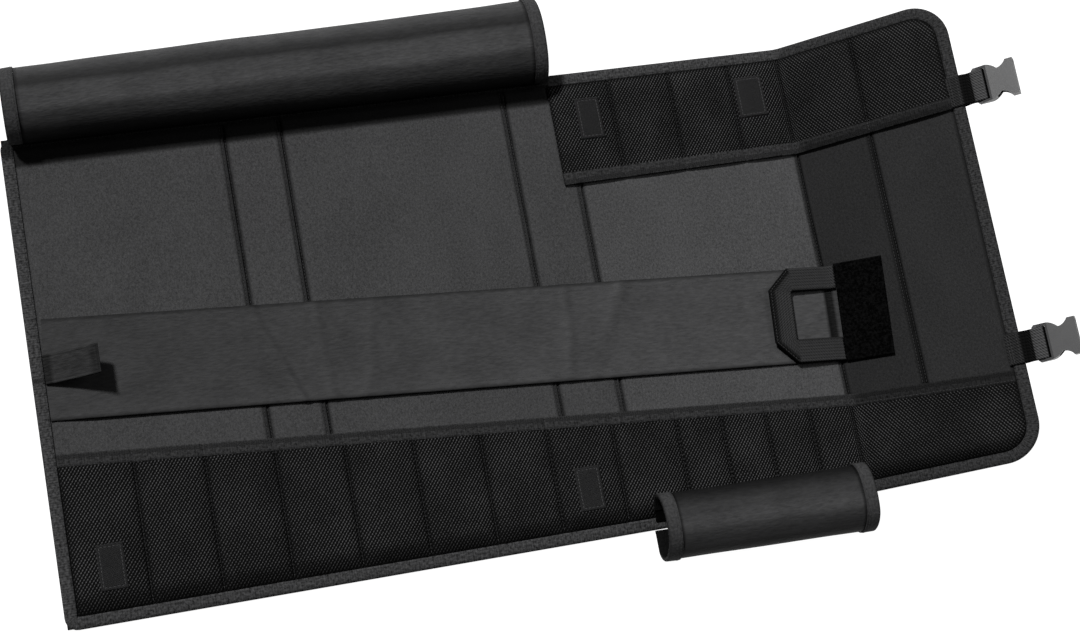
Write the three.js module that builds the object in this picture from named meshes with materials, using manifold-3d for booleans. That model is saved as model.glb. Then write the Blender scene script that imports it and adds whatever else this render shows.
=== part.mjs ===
// A chef's knife roll, laid open: a padded three-fold sheet with mesh pockets, two curled-back cover
// flaps, a carrying band with its handle, and two strap buckles. Millimetres, +Z up.
import * as THREE from "three";
import { mergeVertices } from "three/addons/utils/BufferGeometryUtils.js";
import Module from "manifold-3d";

const wasm = await Module();
wasm.setup();

// Padded sheet
const CASE_WIDTH = 450;
const FLAT_LENGTH = 758;
const END_FLAP_LENGTH = 170;
const END_FLAP_ANGLE = THREE.MathUtils.degToRad(35);
const FOLD_RADIUS = 25;
const PANEL_THICKNESS = 5.5;
const LEFT_CORNER_RADIUS = 10;
const RIGHT_CORNER_RADIUS = 35;
const PADDING_TAPER = 4;
const SEAM_WIDTH = 5;
const SEAM_DEPTH = 1.4;
// Panel and spine widths, counted from the left edge
const FIRST_PANEL = 201.5;
const FIRST_SPINE = 53.5;
const SECOND_PANEL = 217.5;
const SECOND_SPINE = 60;
const END_SPINE = 77;

// Edge binding
const BINDING_WIDTH = 14;
const BINDING_HEIGHT = 6;
const BINDING_TAPE = 1.2;
const CLEARANCE = 0.3;

// Mesh pockets
const MESH_THICKNESS = 2;
const MOUTH_TAPE_WIDTH = 12;
const MOUTH_TAPE = 1;
const BOTTOM_MOUTH_LEFT = -71.7;
const BOTTOM_MOUTH_RIGHT = -143.5;
const TOP_MOUTH_LEFT = 112;
const TOP_MOUTH_RIGHT = 117;
const WIDE_POCKET = 62.9;
const WIDE_POCKETS = 9;
const NARROW_POCKETS = 4;
const TOP_POCKET_START = 516;
const TOP_POCKET = 61.8;
const TOP_POCKETS = 3;
const POCKET_FOLD_GAP = 2;
const POCKET_RISE = 7;
const END_POCKET_RISE = 10;
// How far the wall takes to come down from its taped mouth
const MOUTH_SLOPE = 8;
const POCKET_SHOULDER = 1 / 6;

// Hook patches sewn on the pockets
const HOOK_HEIGHT = 41;
const HOOK_THICKNESS = 1.6;
const HOOK_PLACES = [
  { name: "hook_patch_1", on: "bottom", along: 45, across: -177, width: 24 },
  { name: "hook_patch_2", on: "bottom", along: 483.5, across: -178.5, width: 24 },
  { name: "hook_patch_3", on: "top", along: 552, across: 177, width: 24 },
  { name: "hook_patch_4", on: "top", along: 719, across: 179, width: 28 },
];

// Cover flaps
const COVER_WALL = 1.6;
const COVER_TAPE = 1;
const COVER_TAPE_WIDTH = 12;
const TOP_COVER = {
  start: 8, length: 506, innerLeft: 217.5, innerRight: 217.5, outerLeft: 287, outerRight: 299.5, height: 46,
};
const BOTTOM_COVER = {
  start: 541, length: 205, innerLeft: 197, innerRight: 200, outerLeft: 256, outerRight: 261, height: 46,
};

// Carrying band, its loop patch and handle
const BAND_WIDTH = 94;
const BAND_THICKNESS = 1.2;
const BAND_ANGLE = THREE.MathUtils.degToRad(-4.25);
const BAND_LEFT_CENTRE = 6.6;
const BAND_RIPPLE = 1.6;
const LOOP_PATCH = { start: 757, length: 48, width: 97, thickness: 2.4 };
const HANDLE_REACH = 75;
const HANDLE_WEBBING = 23;
const HANDLE_GRIP = 18;
const HANDLE_CORNER = 21;
const HANDLE_INNER_CORNER = 4;
const HANDLE_THICKNESS = 3.2;
const HANDLE_LIFT = 11;

// Lifted pull tab at the left edge
const TAB = { length: 47, low: -7, width: 27, thickness: 1.8, lift: 23 };
const TAB_HOOK = { length: 20, thickness: 1.5 };

// Straps and buckle sockets at the right edge
const STRAP_WIDTH = 30;
const STRAP_THICKNESS = 1.5;
const STRAP_SEWN = 14;
const UPPER_STRAP_AT = 132;
const LOWER_STRAP_AT = -123;
const STRAP_REACH = 14;
const BAR_HALF = 1.5;
const SOCKET_WIDTH = 36;
const SOCKET_LENGTH = 39;
const SOCKET_THICKNESS = 10;
const SOCKET_WAIST = 23;
const SOCKET_WALL = 1.7;
const SOCKET_BODY_START = 13;
const SOCKET_SIDE = 2.6;
const SOCKET_FLOOR = 4;
const SOCKET_LIP = 8;
const SOCKET_CHAMFER = 2;
const SOCKET_SWELL = 0.4;
const SOCKET_STEPS = 6;

const HALF_WIDTH = CASE_WIDTH / 2;
const TOTAL_LENGTH = FLAT_LENGTH + END_FLAP_LENGTH;
const BINDING_PROUD = CLEARANCE + BINDING_TAPE;
const INNER_INSET = BINDING_WIDTH - BINDING_PROUD + CLEARANCE;
const POCKET_INSET = INNER_INSET + CLEARANCE;
const FOLD_ARC = FOLD_RADIUS * END_FLAP_ANGLE;
const FOLD_START = FLAT_LENGTH - FOLD_ARC / 2;
const FOLD_STATIONS = [0, 0.25, 0.5, 0.75, 1].map((share) => FOLD_START + share * FOLD_ARC);
const SEAMS = [FIRST_PANEL, FIRST_SPINE, SECOND_PANEL, SECOND_SPINE].reduce(
  (edges, width) => [...edges, (edges.at(-1) ?? 0) + width], []);
SEAMS.push(FLAT_LENGTH, FLAT_LENGTH + END_SPINE);
const BAND_TOP = PANEL_THICKNESS + CLEARANCE + BAND_THICKNESS;

const COLOURS = {
  lining: 0x2e2e30,
  binding: 0x1c1c1d,
  mesh: 0x161617,
  satin: 0x202021,
  hook: 0x0e0e0f,
  webbing: 0x19191a,
  plastic: 0x3b3b3d,
};

function material(colour, roughness) {
  return new THREE.MeshStandardMaterial({ color: COLOURS[colour], roughness, metalness: 0 });
}

// A point of the open case: along it from the left edge, across it, and above its lower face,
// with the end flap turned up at the fold
function onCase(along, across, above) {
  const turned = THREE.MathUtils.clamp((along - FOLD_START) / FOLD_RADIUS, 0, END_FLAP_ANGLE);
  const straight = along - FOLD_START - turned * FOLD_RADIUS;
  const x = FOLD_START + (FOLD_RADIUS - above) * Math.sin(turned) + straight * Math.cos(turned);
  const z = FOLD_RADIUS - (FOLD_RADIUS - above) * Math.cos(turned) + straight * Math.sin(turned);
  return new THREE.Vector3(x, across, z);
}

// A point of the carrying band's own frame, which lies askew on the lining
function onBand(along, across, above) {
  const s = INNER_INSET + along * Math.cos(BAND_ANGLE) - across * Math.sin(BAND_ANGLE);
  const v = BAND_LEFT_CENTRE + along * Math.sin(BAND_ANGLE) + across * Math.cos(BAND_ANGLE);
  return onCase(s, v, above);
}

function interpolate(rows, at, column) {
  const after = rows.findIndex((row) => row.at >= at);
  if (after <= 0) {
    return rows[after === 0 ? 0 : rows.length - 1][column];
  }
  const a = rows[after - 1];
  const b = rows[after];
  return THREE.MathUtils.mapLinear(at, a.at, b.at, a[column], b[column]);
}

function sorted(stations) {
  const list = [...stations].sort((a, b) => a - b);
  return list.filter((value, index) => index === 0 || value - list[index - 1] > 0.8);
}

// One closed body from its points and triangles, turned so that its faces point out
function closedBody(points, triangles) {
  let volume = 0;
  for (const [a, b, c] of triangles) {
    volume += points[a].dot(new THREE.Vector3().crossVectors(points[b], points[c]));
  }
  const faces = volume > 0 ? triangles : triangles.map(([a, b, c]) => [a, c, b]);
  const geometry = new THREE.BufferGeometry().setFromPoints(points);
  geometry.setIndex(faces.flat());
  geometry.computeVertexNormals();
  return geometry;
}

// A cloth wall over a grid, between a lower and an upper face
function clothWall(columns, rows, lower, upper) {
  const points = [];
  for (const face of [lower, upper]) {
    columns.forEach((column) => rows.forEach((row) => points.push(face(column, row))));
  }
  const count = columns.length * rows.length;
  const id = (i, j, side) => side * count + i * rows.length + j;
  const triangles = [];
  const quad = (a, b, c, d) => triangles.push([a, b, c], [a, c, d]);
  for (let i = 0; i + 1 < columns.length; i++) {
    for (let j = 0; j + 1 < rows.length; j++) {
      quad(id(i, j, 1), id(i + 1, j, 1), id(i + 1, j + 1, 1), id(i, j + 1, 1));
      quad(id(i, j, 0), id(i, j + 1, 0), id(i + 1, j + 1, 0), id(i + 1, j, 0));
    }
    const last = rows.length - 1;
    quad(id(i, 0, 0), id(i + 1, 0, 0), id(i + 1, 0, 1), id(i, 0, 1));
    quad(id(i + 1, last, 0), id(i, last, 0), id(i, last, 1), id(i + 1, last, 1));
  }
  for (let j = 0; j + 1 < rows.length; j++) {
    const last = columns.length - 1;
    quad(id(0, j + 1, 0), id(0, j, 0), id(0, j, 1), id(0, j + 1, 1));
    quad(id(last, j, 0), id(last, j + 1, 0), id(last, j + 1, 1), id(last, j, 1));
  }
  return closedBody(points, triangles);
}

// A body through closed sections of equal count, either a ring or capped at both ends
function throughSections(sections, ring, capTriangles) {
  const size = sections[0].length;
  const triangles = [];
  const spans = ring ? sections.length : sections.length - 1;
  for (let k = 0; k < spans; k++) {
    const next = (k + 1) % sections.length;
    for (let m = 0; m < size; m++) {
      const n = (m + 1) % size;
      const [a, b, c, d] = [k * size + m, k * size + n, next * size + n, next * size + m];
      triangles.push([a, b, c], [a, c, d]);
    }
  }
  if (!ring) {
    const end = (sections.length - 1) * size;
    capTriangles.forEach(([a, b, c]) => triangles.push([c, b, a], [a + end, b + end, c + end]));
  }
  return closedBody(sections.flat(), triangles);
}

// The U-shaped section of a folded tape: reach inward from the edge, and height off the middle
function foldedTape(width, halfHeight, tape) {
  const outside = -(CLEARANCE + tape);
  const inside = -CLEARANCE;
  return [
    [width, halfHeight], [outside, halfHeight], [outside, -halfHeight], [width, -halfHeight],
    [width, tape - halfHeight], [inside, tape - halfHeight], [inside, halfHeight - tape],
    [width, halfHeight - tape],
  ];
}

function capOf(section) {
  const flat = section.map(([x, y]) => new THREE.Vector2(x, y));
  const turned = THREE.ShapeUtils.isClockWise(flat);
  const faces = THREE.ShapeUtils.triangulateShape(turned ? flat.slice().reverse() : flat, []);
  const last = flat.length - 1;
  return turned ? faces.map(([a, b, c]) => [last - c, last - b, last - a]) : faces;
}

// Padded panel

// The case's outline at an inset, as the points of its upper side from left to right
function upperOutline(inset, stations) {
  const arc = (centreAt, radius, from, to, steps) => Array.from({ length: steps + 1 }, (_, k) => {
    const angle = THREE.MathUtils.degToRad(THREE.MathUtils.lerp(from, to, k / steps));
    const height = HALF_WIDTH - inset - radius;
    return [centreAt + radius * Math.cos(angle), height + radius * Math.sin(angle)];
  });
  const left = Math.max(LEFT_CORNER_RADIUS - inset, 1);
  const right = Math.max(RIGHT_CORNER_RADIUS - inset, 1);
  return [
    ...arc(inset + left, left, 180, 90, 3),
    ...stations.map((station) => [station, HALF_WIDTH - inset]),
    ...arc(TOTAL_LENGTH - inset - right, right, 90, 0, 6),
  ];
}

function perimeter(inset, stations, above) {
  const upper = upperOutline(inset, stations);
  const lower = upper.map(([s, v]) => [s, -v]).reverse();
  return [...upper, ...lower].map(([s, v]) => onCase(s, v, above(s)));
}

function seamGroove(s) {
  const nearest = Math.min(...SEAMS.map((seam) => Math.abs(s - seam)));
  return Math.max(0, 1 - nearest / (SEAM_WIDTH / 2)) * SEAM_DEPTH;
}

function paddedPanel() {
  const seamStations = SEAMS.flatMap((seam) => [seam - SEAM_WIDTH / 2, seam, seam + SEAM_WIDTH / 2]);
  const stations = sorted([...seamStations, ...FOLD_STATIONS]);
  const edgeLow = BINDING_TAPE + CLEARANCE;
  const edgeHigh = BINDING_HEIGHT - BINDING_TAPE - CLEARANCE;
  const padded = INNER_INSET + PADDING_TAPER;
  const layers = [
    perimeter(padded, stations, () => 0),
    perimeter(INNER_INSET, stations, () => edgeLow),
    perimeter(0, stations, () => edgeLow),
    perimeter(0, stations, () => edgeHigh),
    perimeter(INNER_INSET, stations, () => edgeHigh),
    perimeter(padded, stations, (s) => PANEL_THICKNESS - seamGroove(s)),
  ];
  const count = layers[0].length / 2;
  const ladder = [];
  for (let i = 0; i + 1 < count; i++) {
    const [a, b, c, d] = [i, i + 1, 2 * count - 2 - i, 2 * count - 1 - i];
    ladder.push([a, b, c], [a, c, d]);
  }
  return throughSections(layers, false, ladder);
}

function edgeBinding() {
  const middle = BINDING_HEIGHT / 2;
  const reach = BINDING_WIDTH - BINDING_PROUD;
  const sections = foldedTape(reach, middle, BINDING_TAPE).map(([inset, off]) =>
    perimeter(inset, FOLD_STATIONS, () => middle + off));
  const stations = sections[0].map((_, k) => sections.map((ring) => ring[k]));
  return throughSections(stations, true, []);
}

// Mesh pockets

const NARROW_POCKETS_START = INNER_INSET + WIDE_POCKET * WIDE_POCKETS;
const POCKET_FOLD = FLAT_LENGTH - POCKET_FOLD_GAP;
const POCKET_END = TOTAL_LENGTH - POCKET_INSET;

function evenly(from, to, count) {
  return Array.from({ length: count }, (_, k) => THREE.MathUtils.lerp(from, to, k / count));
}

const BOTTOM_DIVIDERS = [
  ...evenly(POCKET_INSET, NARROW_POCKETS_START, WIDE_POCKETS),
  ...evenly(NARROW_POCKETS_START, POCKET_FOLD, NARROW_POCKETS),
  POCKET_FOLD,
  POCKET_END,
];
const TOP_DIVIDERS = [
  ...evenly(TOP_POCKET_START, TOP_POCKET_START + TOP_POCKET * TOP_POCKETS, TOP_POCKETS),
  TOP_POCKET_START + TOP_POCKET * TOP_POCKETS,
  POCKET_FOLD,
  FLAT_LENGTH + END_SPINE,
  POCKET_END,
];
// How a pocket's wall stands off the lining between its mouth and its sewn edge
const POCKET_FALL = [
  { at: 0, rise: 1 },
  { at: 0.2, rise: 0.96 },
  { at: 0.5, rise: 0.72 },
  { at: 1, rise: 0 },
];

// The sewn edge follows the inside of the binding, round the right-hand corners
function sewnEdge(s) {
  const radius = RIGHT_CORNER_RADIUS - POCKET_INSET;
  const past = Math.max(0, s - (TOTAL_LENGTH - RIGHT_CORNER_RADIUS));
  const rounded = Math.sqrt(Math.max(radius * radius - past * past, 1));
  return HALF_WIDTH - RIGHT_CORNER_RADIUS + rounded;
}

function makePocket({ dividers, mouthLeft, mouthRight }) {
  const side = Math.sign(mouthLeft);
  const mouth = (s) => THREE.MathUtils.mapLinear(s, POCKET_INSET, POCKET_END, mouthLeft, mouthRight);
  const depth = (s) => sewnEdge(s) - Math.abs(mouth(s));
  const rise = (s) => {
    const k = THREE.MathUtils.clamp(dividers.findIndex((edge) => edge >= s), 1, dividers.length - 1);
    const share = THREE.MathUtils.mapLinear(s, dividers[k - 1], dividers[k], -1, 1);
    const height = dividers[k] > POCKET_FOLD ? END_POCKET_RISE : POCKET_RISE;
    return height * (1 - Math.min(1, share ** 4));
  };
  const taped = MOUTH_TAPE_WIDTH + 1;
  const level = taped + MOUTH_SLOPE;
  const tapeRoom = [
    { at: 0, lift: CLEARANCE + MOUTH_TAPE },
    { at: taped, lift: CLEARANCE + MOUTH_TAPE },
    { at: level, lift: 0 },
  ];
  // The middle of the wall, at a distance in from the mouth
  const middle = (s, inward) => PANEL_THICKNESS + CLEARANCE + MESH_THICKNESS / 2
    + interpolate(tapeRoom, inward, "lift")
    + rise(s) * interpolate(POCKET_FALL, Math.max(inward, 0) / depth(s), "rise");
  const place = (s, inward, off) => onCase(s, mouth(s) + side * inward, middle(s, inward) + off);
  const stations = sorted(dividers.slice(1).flatMap((end, k) => {
    const start = dividers[k];
    const shoulder = (end - start) * POCKET_SHOULDER;
    return [start, start + shoulder, (start + end) / 2, end - shoulder, end];
  }).concat(FOLD_STATIONS.slice(2), TOTAL_LENGTH - RIGHT_CORNER_RADIUS, POCKET_END - 8, POCKET_END - 3));
  const rows = [() => 0, () => taped, () => level, (s) => depth(s) * 0.5, depth];
  const face = (off) => (s, row) => place(s, row(s), off);
  // The wall from one divider seam to another, parted from its neighbours at a seam
  const wall = (first = 0, last = dividers.length - 1) => {
    const from = dividers[first] + (first > 0 ? CLEARANCE / 2 : 0);
    const to = dividers[last] - (last < dividers.length - 1 ? CLEARANCE / 2 : 0);
    const columns = [from, ...stations.filter((s) => s > from + 1 && s < to - 1), to];
    return clothWall(columns, rows, face(-MESH_THICKNESS / 2), face(MESH_THICKNESS / 2));
  };
  const mouthTape = () => {
    const section = foldedTape(MOUTH_TAPE_WIDTH, MESH_THICKNESS / 2 + CLEARANCE + MOUTH_TAPE, MOUTH_TAPE);
    const sections = stations.map((s) => section.map(([inward, off]) => place(s, inward, off)));
    return throughSections(sections, false, capOf(section));
  };
  // A patch lies on the wall's own facets, so it takes the wall's stations under it
  const patch = ({ along, across, width }) => {
    const from = along - width / 2;
    const to = along + width / 2;
    const columns = [from, ...stations.filter((s) => s > from + 1 && s < to - 1), to];
    const facet = (s) => {
      const after = Math.max(1, stations.findIndex((station) => station >= s));
      return [stations[after - 1], stations[after]];
    };
    const above = MESH_THICKNESS / 2 + CLEARANCE;
    const onWall = (off) => (s, v) => {
      const [a, b] = facet(s);
      const spot = (station) => place(station, Math.abs(v) - Math.abs(mouth(station)), above + off);
      return spot(a).lerp(spot(b), (s - a) / (b - a));
    };
    const low = across - HOOK_HEIGHT / 2;
    const high = across + HOOK_HEIGHT / 2;
    return clothWall(columns, [low, across, high], onWall(0), onWall(HOOK_THICKNESS));
  };
  return { wall, mouthTape, patch };
}

// The divider seams that the lower row is parted at, by their count from the left
const WIDE_LEFT_LENGTH = 5;
const BOTTOM_LENGTHS = [
  { name: "bottom_mesh_pocket_left", first: 0, last: WIDE_LEFT_LENGTH },
  { name: "bottom_mesh_pocket_middle", first: WIDE_LEFT_LENGTH, last: WIDE_POCKETS },
  { name: "bottom_mesh_pocket_narrow", first: WIDE_POCKETS, last: WIDE_POCKETS + NARROW_POCKETS },
  { name: "bottom_mesh_pocket_end", first: WIDE_POCKETS + NARROW_POCKETS, last: BOTTOM_DIVIDERS.length - 1 },
];

const pockets = {
  bottom: makePocket({
    dividers: BOTTOM_DIVIDERS,
    mouthLeft: BOTTOM_MOUTH_LEFT,
    mouthRight: BOTTOM_MOUTH_RIGHT,
  }),
  top: makePocket({
    dividers: TOP_DIVIDERS,
    mouthLeft: TOP_MOUTH_LEFT,
    mouthRight: TOP_MOUTH_RIGHT,
  }),
};

// Cover flaps, each sewn along the case's edge and curled back on itself

const COVER_HALF = COVER_WALL / 2;
const COVER_FLOOR = COVER_HALF + CLEARANCE + COVER_TAPE;
const COVER_SPANS = 25;
const COVER_ROOT_SPANS = 2;
const COVER_CORNER = 2;
const TOP_COVER_SECTION = [
  { out: 0.06, up: 0.116 },
  { out: 0.012, up: 0.24 },
  { out: 0, up: 0.43 },
  { out: 0.03, up: 0.63 },
  { out: 0.104, up: 0.79 },
  { out: 0.2, up: 0.9 },
  { out: 0.335, up: 0.97 },
  { out: 0.494, up: 1 },
  { out: 0.64, up: 0.984 },
  { out: 0.787, up: 0.89 },
  { out: 0.896, up: 0.74 },
  { out: 0.98, up: 0.51 },
  { out: 1, up: 0.29 },
  { out: 0.957, up: 0.105 },
  { out: 0.848, up: 0 },
  { out: 0.69, up: 0 },
  { out: 0.53, up: 0 },
];
const BOTTOM_COVER_SECTION = [
  { out: 0.37, up: 0.12 },
  { out: 0.24, up: 0.19 },
  { out: 0.1, up: 0.3 },
  { out: 0.01, up: 0.48 },
  { out: 0.03, up: 0.7 },
  { out: 0.14, up: 0.88 },
  { out: 0.32, up: 0.98 },
  { out: 0.55, up: 1 },
  { out: 0.78, up: 0.91 },
  { out: 0.94, up: 0.68 },
  { out: 1, up: 0.4 },
  { out: 0.96, up: 0.14 },
  { out: 0.86, up: 0 },
  { out: 0.74, up: 0 },
  { out: 0.64, up: 0 },
];

function makeCover(size, section, side) {
  const root = BINDING_HEIGHT + CLEARANCE + COVER_HALF;
  const top = size.height - COVER_HALF;
  const curveAt = (share) => {
    const inner = THREE.MathUtils.lerp(size.innerLeft, size.innerRight, share);
    const outer = THREE.MathUtils.lerp(size.outerLeft, size.outerRight, share);
    const points = section.map(({ out, up }, k) => {
      const height = k === 0 ? root : THREE.MathUtils.lerp(COVER_FLOOR, top, up);
      return new THREE.Vector3(0, side * THREE.MathUtils.lerp(inner, outer, out), height);
    });
    return new THREE.CatmullRomCurve3(points, false, "centripetal");
  };
  const curves = new Map([0, 0.5, 1].map((share) => [share, curveAt(share)]));
  const along = [0, 0.5, 1];
  // The last span is the flat hem, long enough for the tape to turn its corners on
  const reach = Math.min(...along.map((share) => curves.get(share).getLength()));
  const hem = (COVER_TAPE_WIDTH + COVER_CORNER) / reach;
  const around = [...evenly(0, 1 - hem, COVER_SPANS), 1 - hem, 1];
  // A point of the flap's middle surface, with the directions along its section and off it
  const frame = (share, turn) => {
    const curve = curves.get(share);
    const point = curve.getPointAt(turn);
    point.x = size.start + share * size.length;
    point.z = Math.max(point.z, COVER_FLOOR);
    const onward = curve.getTangentAt(turn);
    const off = new THREE.Vector3(side, 0, 0).cross(onward);
    return { point, onward, off };
  };
  const face = (distance) => (share, turn) => {
    const { point, off } = frame(share, turn);
    return point.addScaledVector(off, distance);
  };
  const tape = () => {
    const taped = around.slice(COVER_ROOT_SPANS);
    const edge = [
      ...taped.map((turn) => ({ share: 0, turn, sideways: 1, back: turn === 1 ? 1 : 0 })),
      { share: 0.5, turn: 1, sideways: 0, back: 1 },
      ...taped.map((turn) => ({ share: 1, turn, sideways: -1, back: turn === 1 ? 1 : 0 })).reverse(),
    ];
    const outline = foldedTape(COVER_TAPE_WIDTH, COVER_HALF + CLEARANCE + COVER_TAPE, COVER_TAPE);
    const sections = edge.map(({ share, turn, sideways, back }) => {
      const { point, onward, off } = frame(share, turn);
      const inward = new THREE.Vector3(sideways, 0, 0).addScaledVector(onward, -back);
      return outline.map(([reach, lift]) =>
        point.clone().addScaledVector(inward, reach).addScaledVector(off, lift));
    });
    return throughSections(sections, false, capOf(outline));
  };
  return { wall: () => clothWall(along, around, face(-COVER_HALF), face(COVER_HALF)), tape };
}

const topCover = makeCover(TOP_COVER, TOP_COVER_SECTION, 1);
const bottomCover = makeCover(BOTTOM_COVER, BOTTOM_COVER_SECTION, -1);

// Carrying band, with loose ripples where it crosses the two spines
const BAND_FOLDS = [
  { at: SEAMS[0] + 0.5 * FIRST_SPINE, width: 14, height: 1 },
  { at: SEAMS[1] + 0.1 * SECOND_PANEL, width: 10, height: 0.6 },
  { at: SEAMS[2] + 0.2 * SECOND_SPINE, width: 12, height: 0.8 },
  { at: SEAMS[2] + 0.8 * SECOND_SPINE, width: 14, height: 1 },
];

function bandRipple(along) {
  return BAND_FOLDS.reduce((sum, fold) => {
    const share = Math.min(1, Math.abs(along - fold.at) / fold.width);
    return Math.max(sum, BAND_RIPPLE * fold.height * (1 + Math.cos(Math.PI * share)) / 2);
  }, 0);
}

function carryingBand() {
  const end = LOOP_PATCH.start + LOOP_PATCH.length - CLEARANCE;
  const foldStations = FOLD_STATIONS.flatMap((s) => [s - 14, s - 9, s - 4]);
  const stations = sorted([
    0, ...BAND_FOLDS.flatMap(({ at, width }) => [at - width, at - width / 2, at, at + width / 2, at + width]),
    ...foldStations, end,
  ]);
  const face = (off) => (along, share) => {
    const across = share * BAND_WIDTH / 2;
    const start = across * Math.tan(BAND_ANGLE);
    const above = PANEL_THICKNESS + CLEARANCE + bandRipple(along) + off;
    return onBand(Math.max(along, along === 0 ? start + CLEARANCE : along), across, above);
  };
  return clothWall(stations, [-1, 0, 1], face(0), face(BAND_THICKNESS));
}

function loopPatch() {
  const columns = [0, 0.1, 0.2, 0.35, 0.5, 1].map((share) => LOOP_PATCH.start + share * LOOP_PATCH.length);
  const rows = [-0.5, 0, 0.5].map((share) => share * LOOP_PATCH.width);
  const base = BAND_TOP + CLEARANCE;
  return clothWall(columns, rows, (a, w) => onBand(a, w, base),
    (a, w) => onBand(a, w, base + LOOP_PATCH.thickness));
}

// The handle is doubled webbing folded into a D, lifted at its grip
function carryHandle() {
  const end = LOOP_PATCH.start - CLEARANCE;
  const grip = end - HANDLE_REACH;
  const half = BAND_WIDTH / 2;
  const inner = half - HANDLE_WEBBING;
  const outerLeg = grip + HANDLE_CORNER;
  const innerLeg = grip + HANDLE_GRIP + HANDLE_INNER_CORNER;
  const upper = [
    ...[1, 0.86, 0.72, 0.58, 0.44, 0].map((share) =>
      [THREE.MathUtils.lerp(outerLeg, end, share), half, THREE.MathUtils.lerp(innerLeg, end, share), inner]),
    [grip, half - HANDLE_CORNER, grip + HANDLE_GRIP, inner - HANDLE_INNER_CORNER],
  ];
  const lower = upper.map(([a, w, c, d]) => [a, -w, c, -d]).reverse();
  const base = BAND_TOP + CLEARANCE;
  const lift = (along) => HANDLE_LIFT * Math.min(1, Math.max(0, (end - along) / HANDLE_REACH)) ** 0.8;
  const face = (off) => ([a, w, c, d], share) => {
    const along = THREE.MathUtils.lerp(a, c, share);
    return onBand(along, THREE.MathUtils.lerp(w, d, share), base + lift(along) + off);
  };
  return clothWall([...upper, ...lower], [0, 1], face(0), face(HANDLE_THICKNESS));
}

// Pull tab, standing up from the left edge, with hook tape under its end
const TAB_RISE = [0, 0.1, 0.25, 0.45, 0.57, 0.72, 0.86, 1];
const TAB_START = INNER_INSET + CLEARANCE;

function tabFace(above) {
  return (share, v) => {
    const lift = TAB.lift * share ** 1.2;
    return onCase(TAB_START + share * TAB.length, v, BAND_TOP + CLEARANCE + lift + above);
  };
}

function pullTab() {
  const rows = [TAB.low, TAB.low + TAB.width];
  return clothWall(TAB_RISE, rows, tabFace(0), tabFace(TAB.thickness));
}

function pullTabHook() {
  const start = 1 - TAB_HOOK.length / TAB.length;
  const columns = [0, 0.35, 0.7, 1].map((share) => THREE.MathUtils.lerp(start, 1, share));
  const rows = [TAB.low, TAB.low + TAB.width];
  return clothWall(columns, rows, tabFace(-CLEARANCE - TAB_HOOK.thickness), tabFace(-CLEARANCE));
}

// Buckle straps: webbing sewn over both faces of the binding and looped round the socket's bar
const BAR_MIDDLE = BINDING_HEIGHT / 2;
const BAR_AT = TOTAL_LENGTH + BINDING_PROUD + STRAP_REACH;
const LOOP_RADIUS = BAR_HALF * Math.SQRT2 + CLEARANCE + STRAP_THICKNESS / 2;

function buckleStrap(across) {
  const sewn = BINDING_HEIGHT / 2 + CLEARANCE + STRAP_THICKNESS / 2;
  const outside = TOTAL_LENGTH + BINDING_PROUD;
  const together = STRAP_THICKNESS / 2 + CLEARANCE;
  const half = [
    [outside - STRAP_SEWN, sewn], [outside, sewn], [outside + STRAP_REACH * 0.2, sewn * 0.8],
    [outside + STRAP_REACH * 0.5, together + CLEARANCE],
    [BAR_AT - LOOP_RADIUS * 1.2, together + 2 * CLEARANCE],
  ];
  const arc = [130, 90, 50, 0].map((degrees) => {
    const angle = THREE.MathUtils.degToRad(degrees);
    return [BAR_AT + LOOP_RADIUS * Math.cos(angle), LOOP_RADIUS * Math.sin(angle)];
  });
  const upper = [...half, ...arc];
  const lower = upper.slice(0, -1).reverse().map(([s, off]) => [s, -off]);
  const path = [...upper, ...lower];
  const face = (side) => (k, v) => {
    const before = path[Math.max(k - 1, 0)];
    const after = path[Math.min(k + 1, path.length - 1)];
    const length = Math.hypot(after[0] - before[0], after[1] - before[1]);
    const normal = [-(after[1] - before[1]) / length, (after[0] - before[0]) / length];
    const reach = side * STRAP_THICKNESS / 2;
    return onCase(path[k][0] + normal[0] * reach, v, BAR_MIDDLE + path[k][1] + normal[1] * reach);
  };
  const rows = [across - STRAP_WIDTH / 2, across + STRAP_WIDTH / 2];
  return clothWall(path.map((_, k) => k), rows, face(-1), face(1));
}

function solidOf(geometry) {
  const bare = geometry.clone();
  bare.deleteAttribute("normal");
  bare.deleteAttribute("uv");
  const merged = mergeVertices(bare, 1e-4);
  return new wasm.Manifold(new wasm.Mesh({
    numProp: 3,
    vertProperties: new Float32Array(merged.attributes.position.array),
    triVerts: new Uint32Array(merged.index.array),
  }));
}

function geometryOf(solid) {
  const mesh = solid.getMesh();
  const geometry = new THREE.BufferGeometry();
  geometry.setAttribute("position", new THREE.BufferAttribute(mesh.vertProperties, 3));
  geometry.setIndex(new THREE.BufferAttribute(mesh.triVerts, 1));
  geometry.computeVertexNormals();
  return geometry;
}

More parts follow.
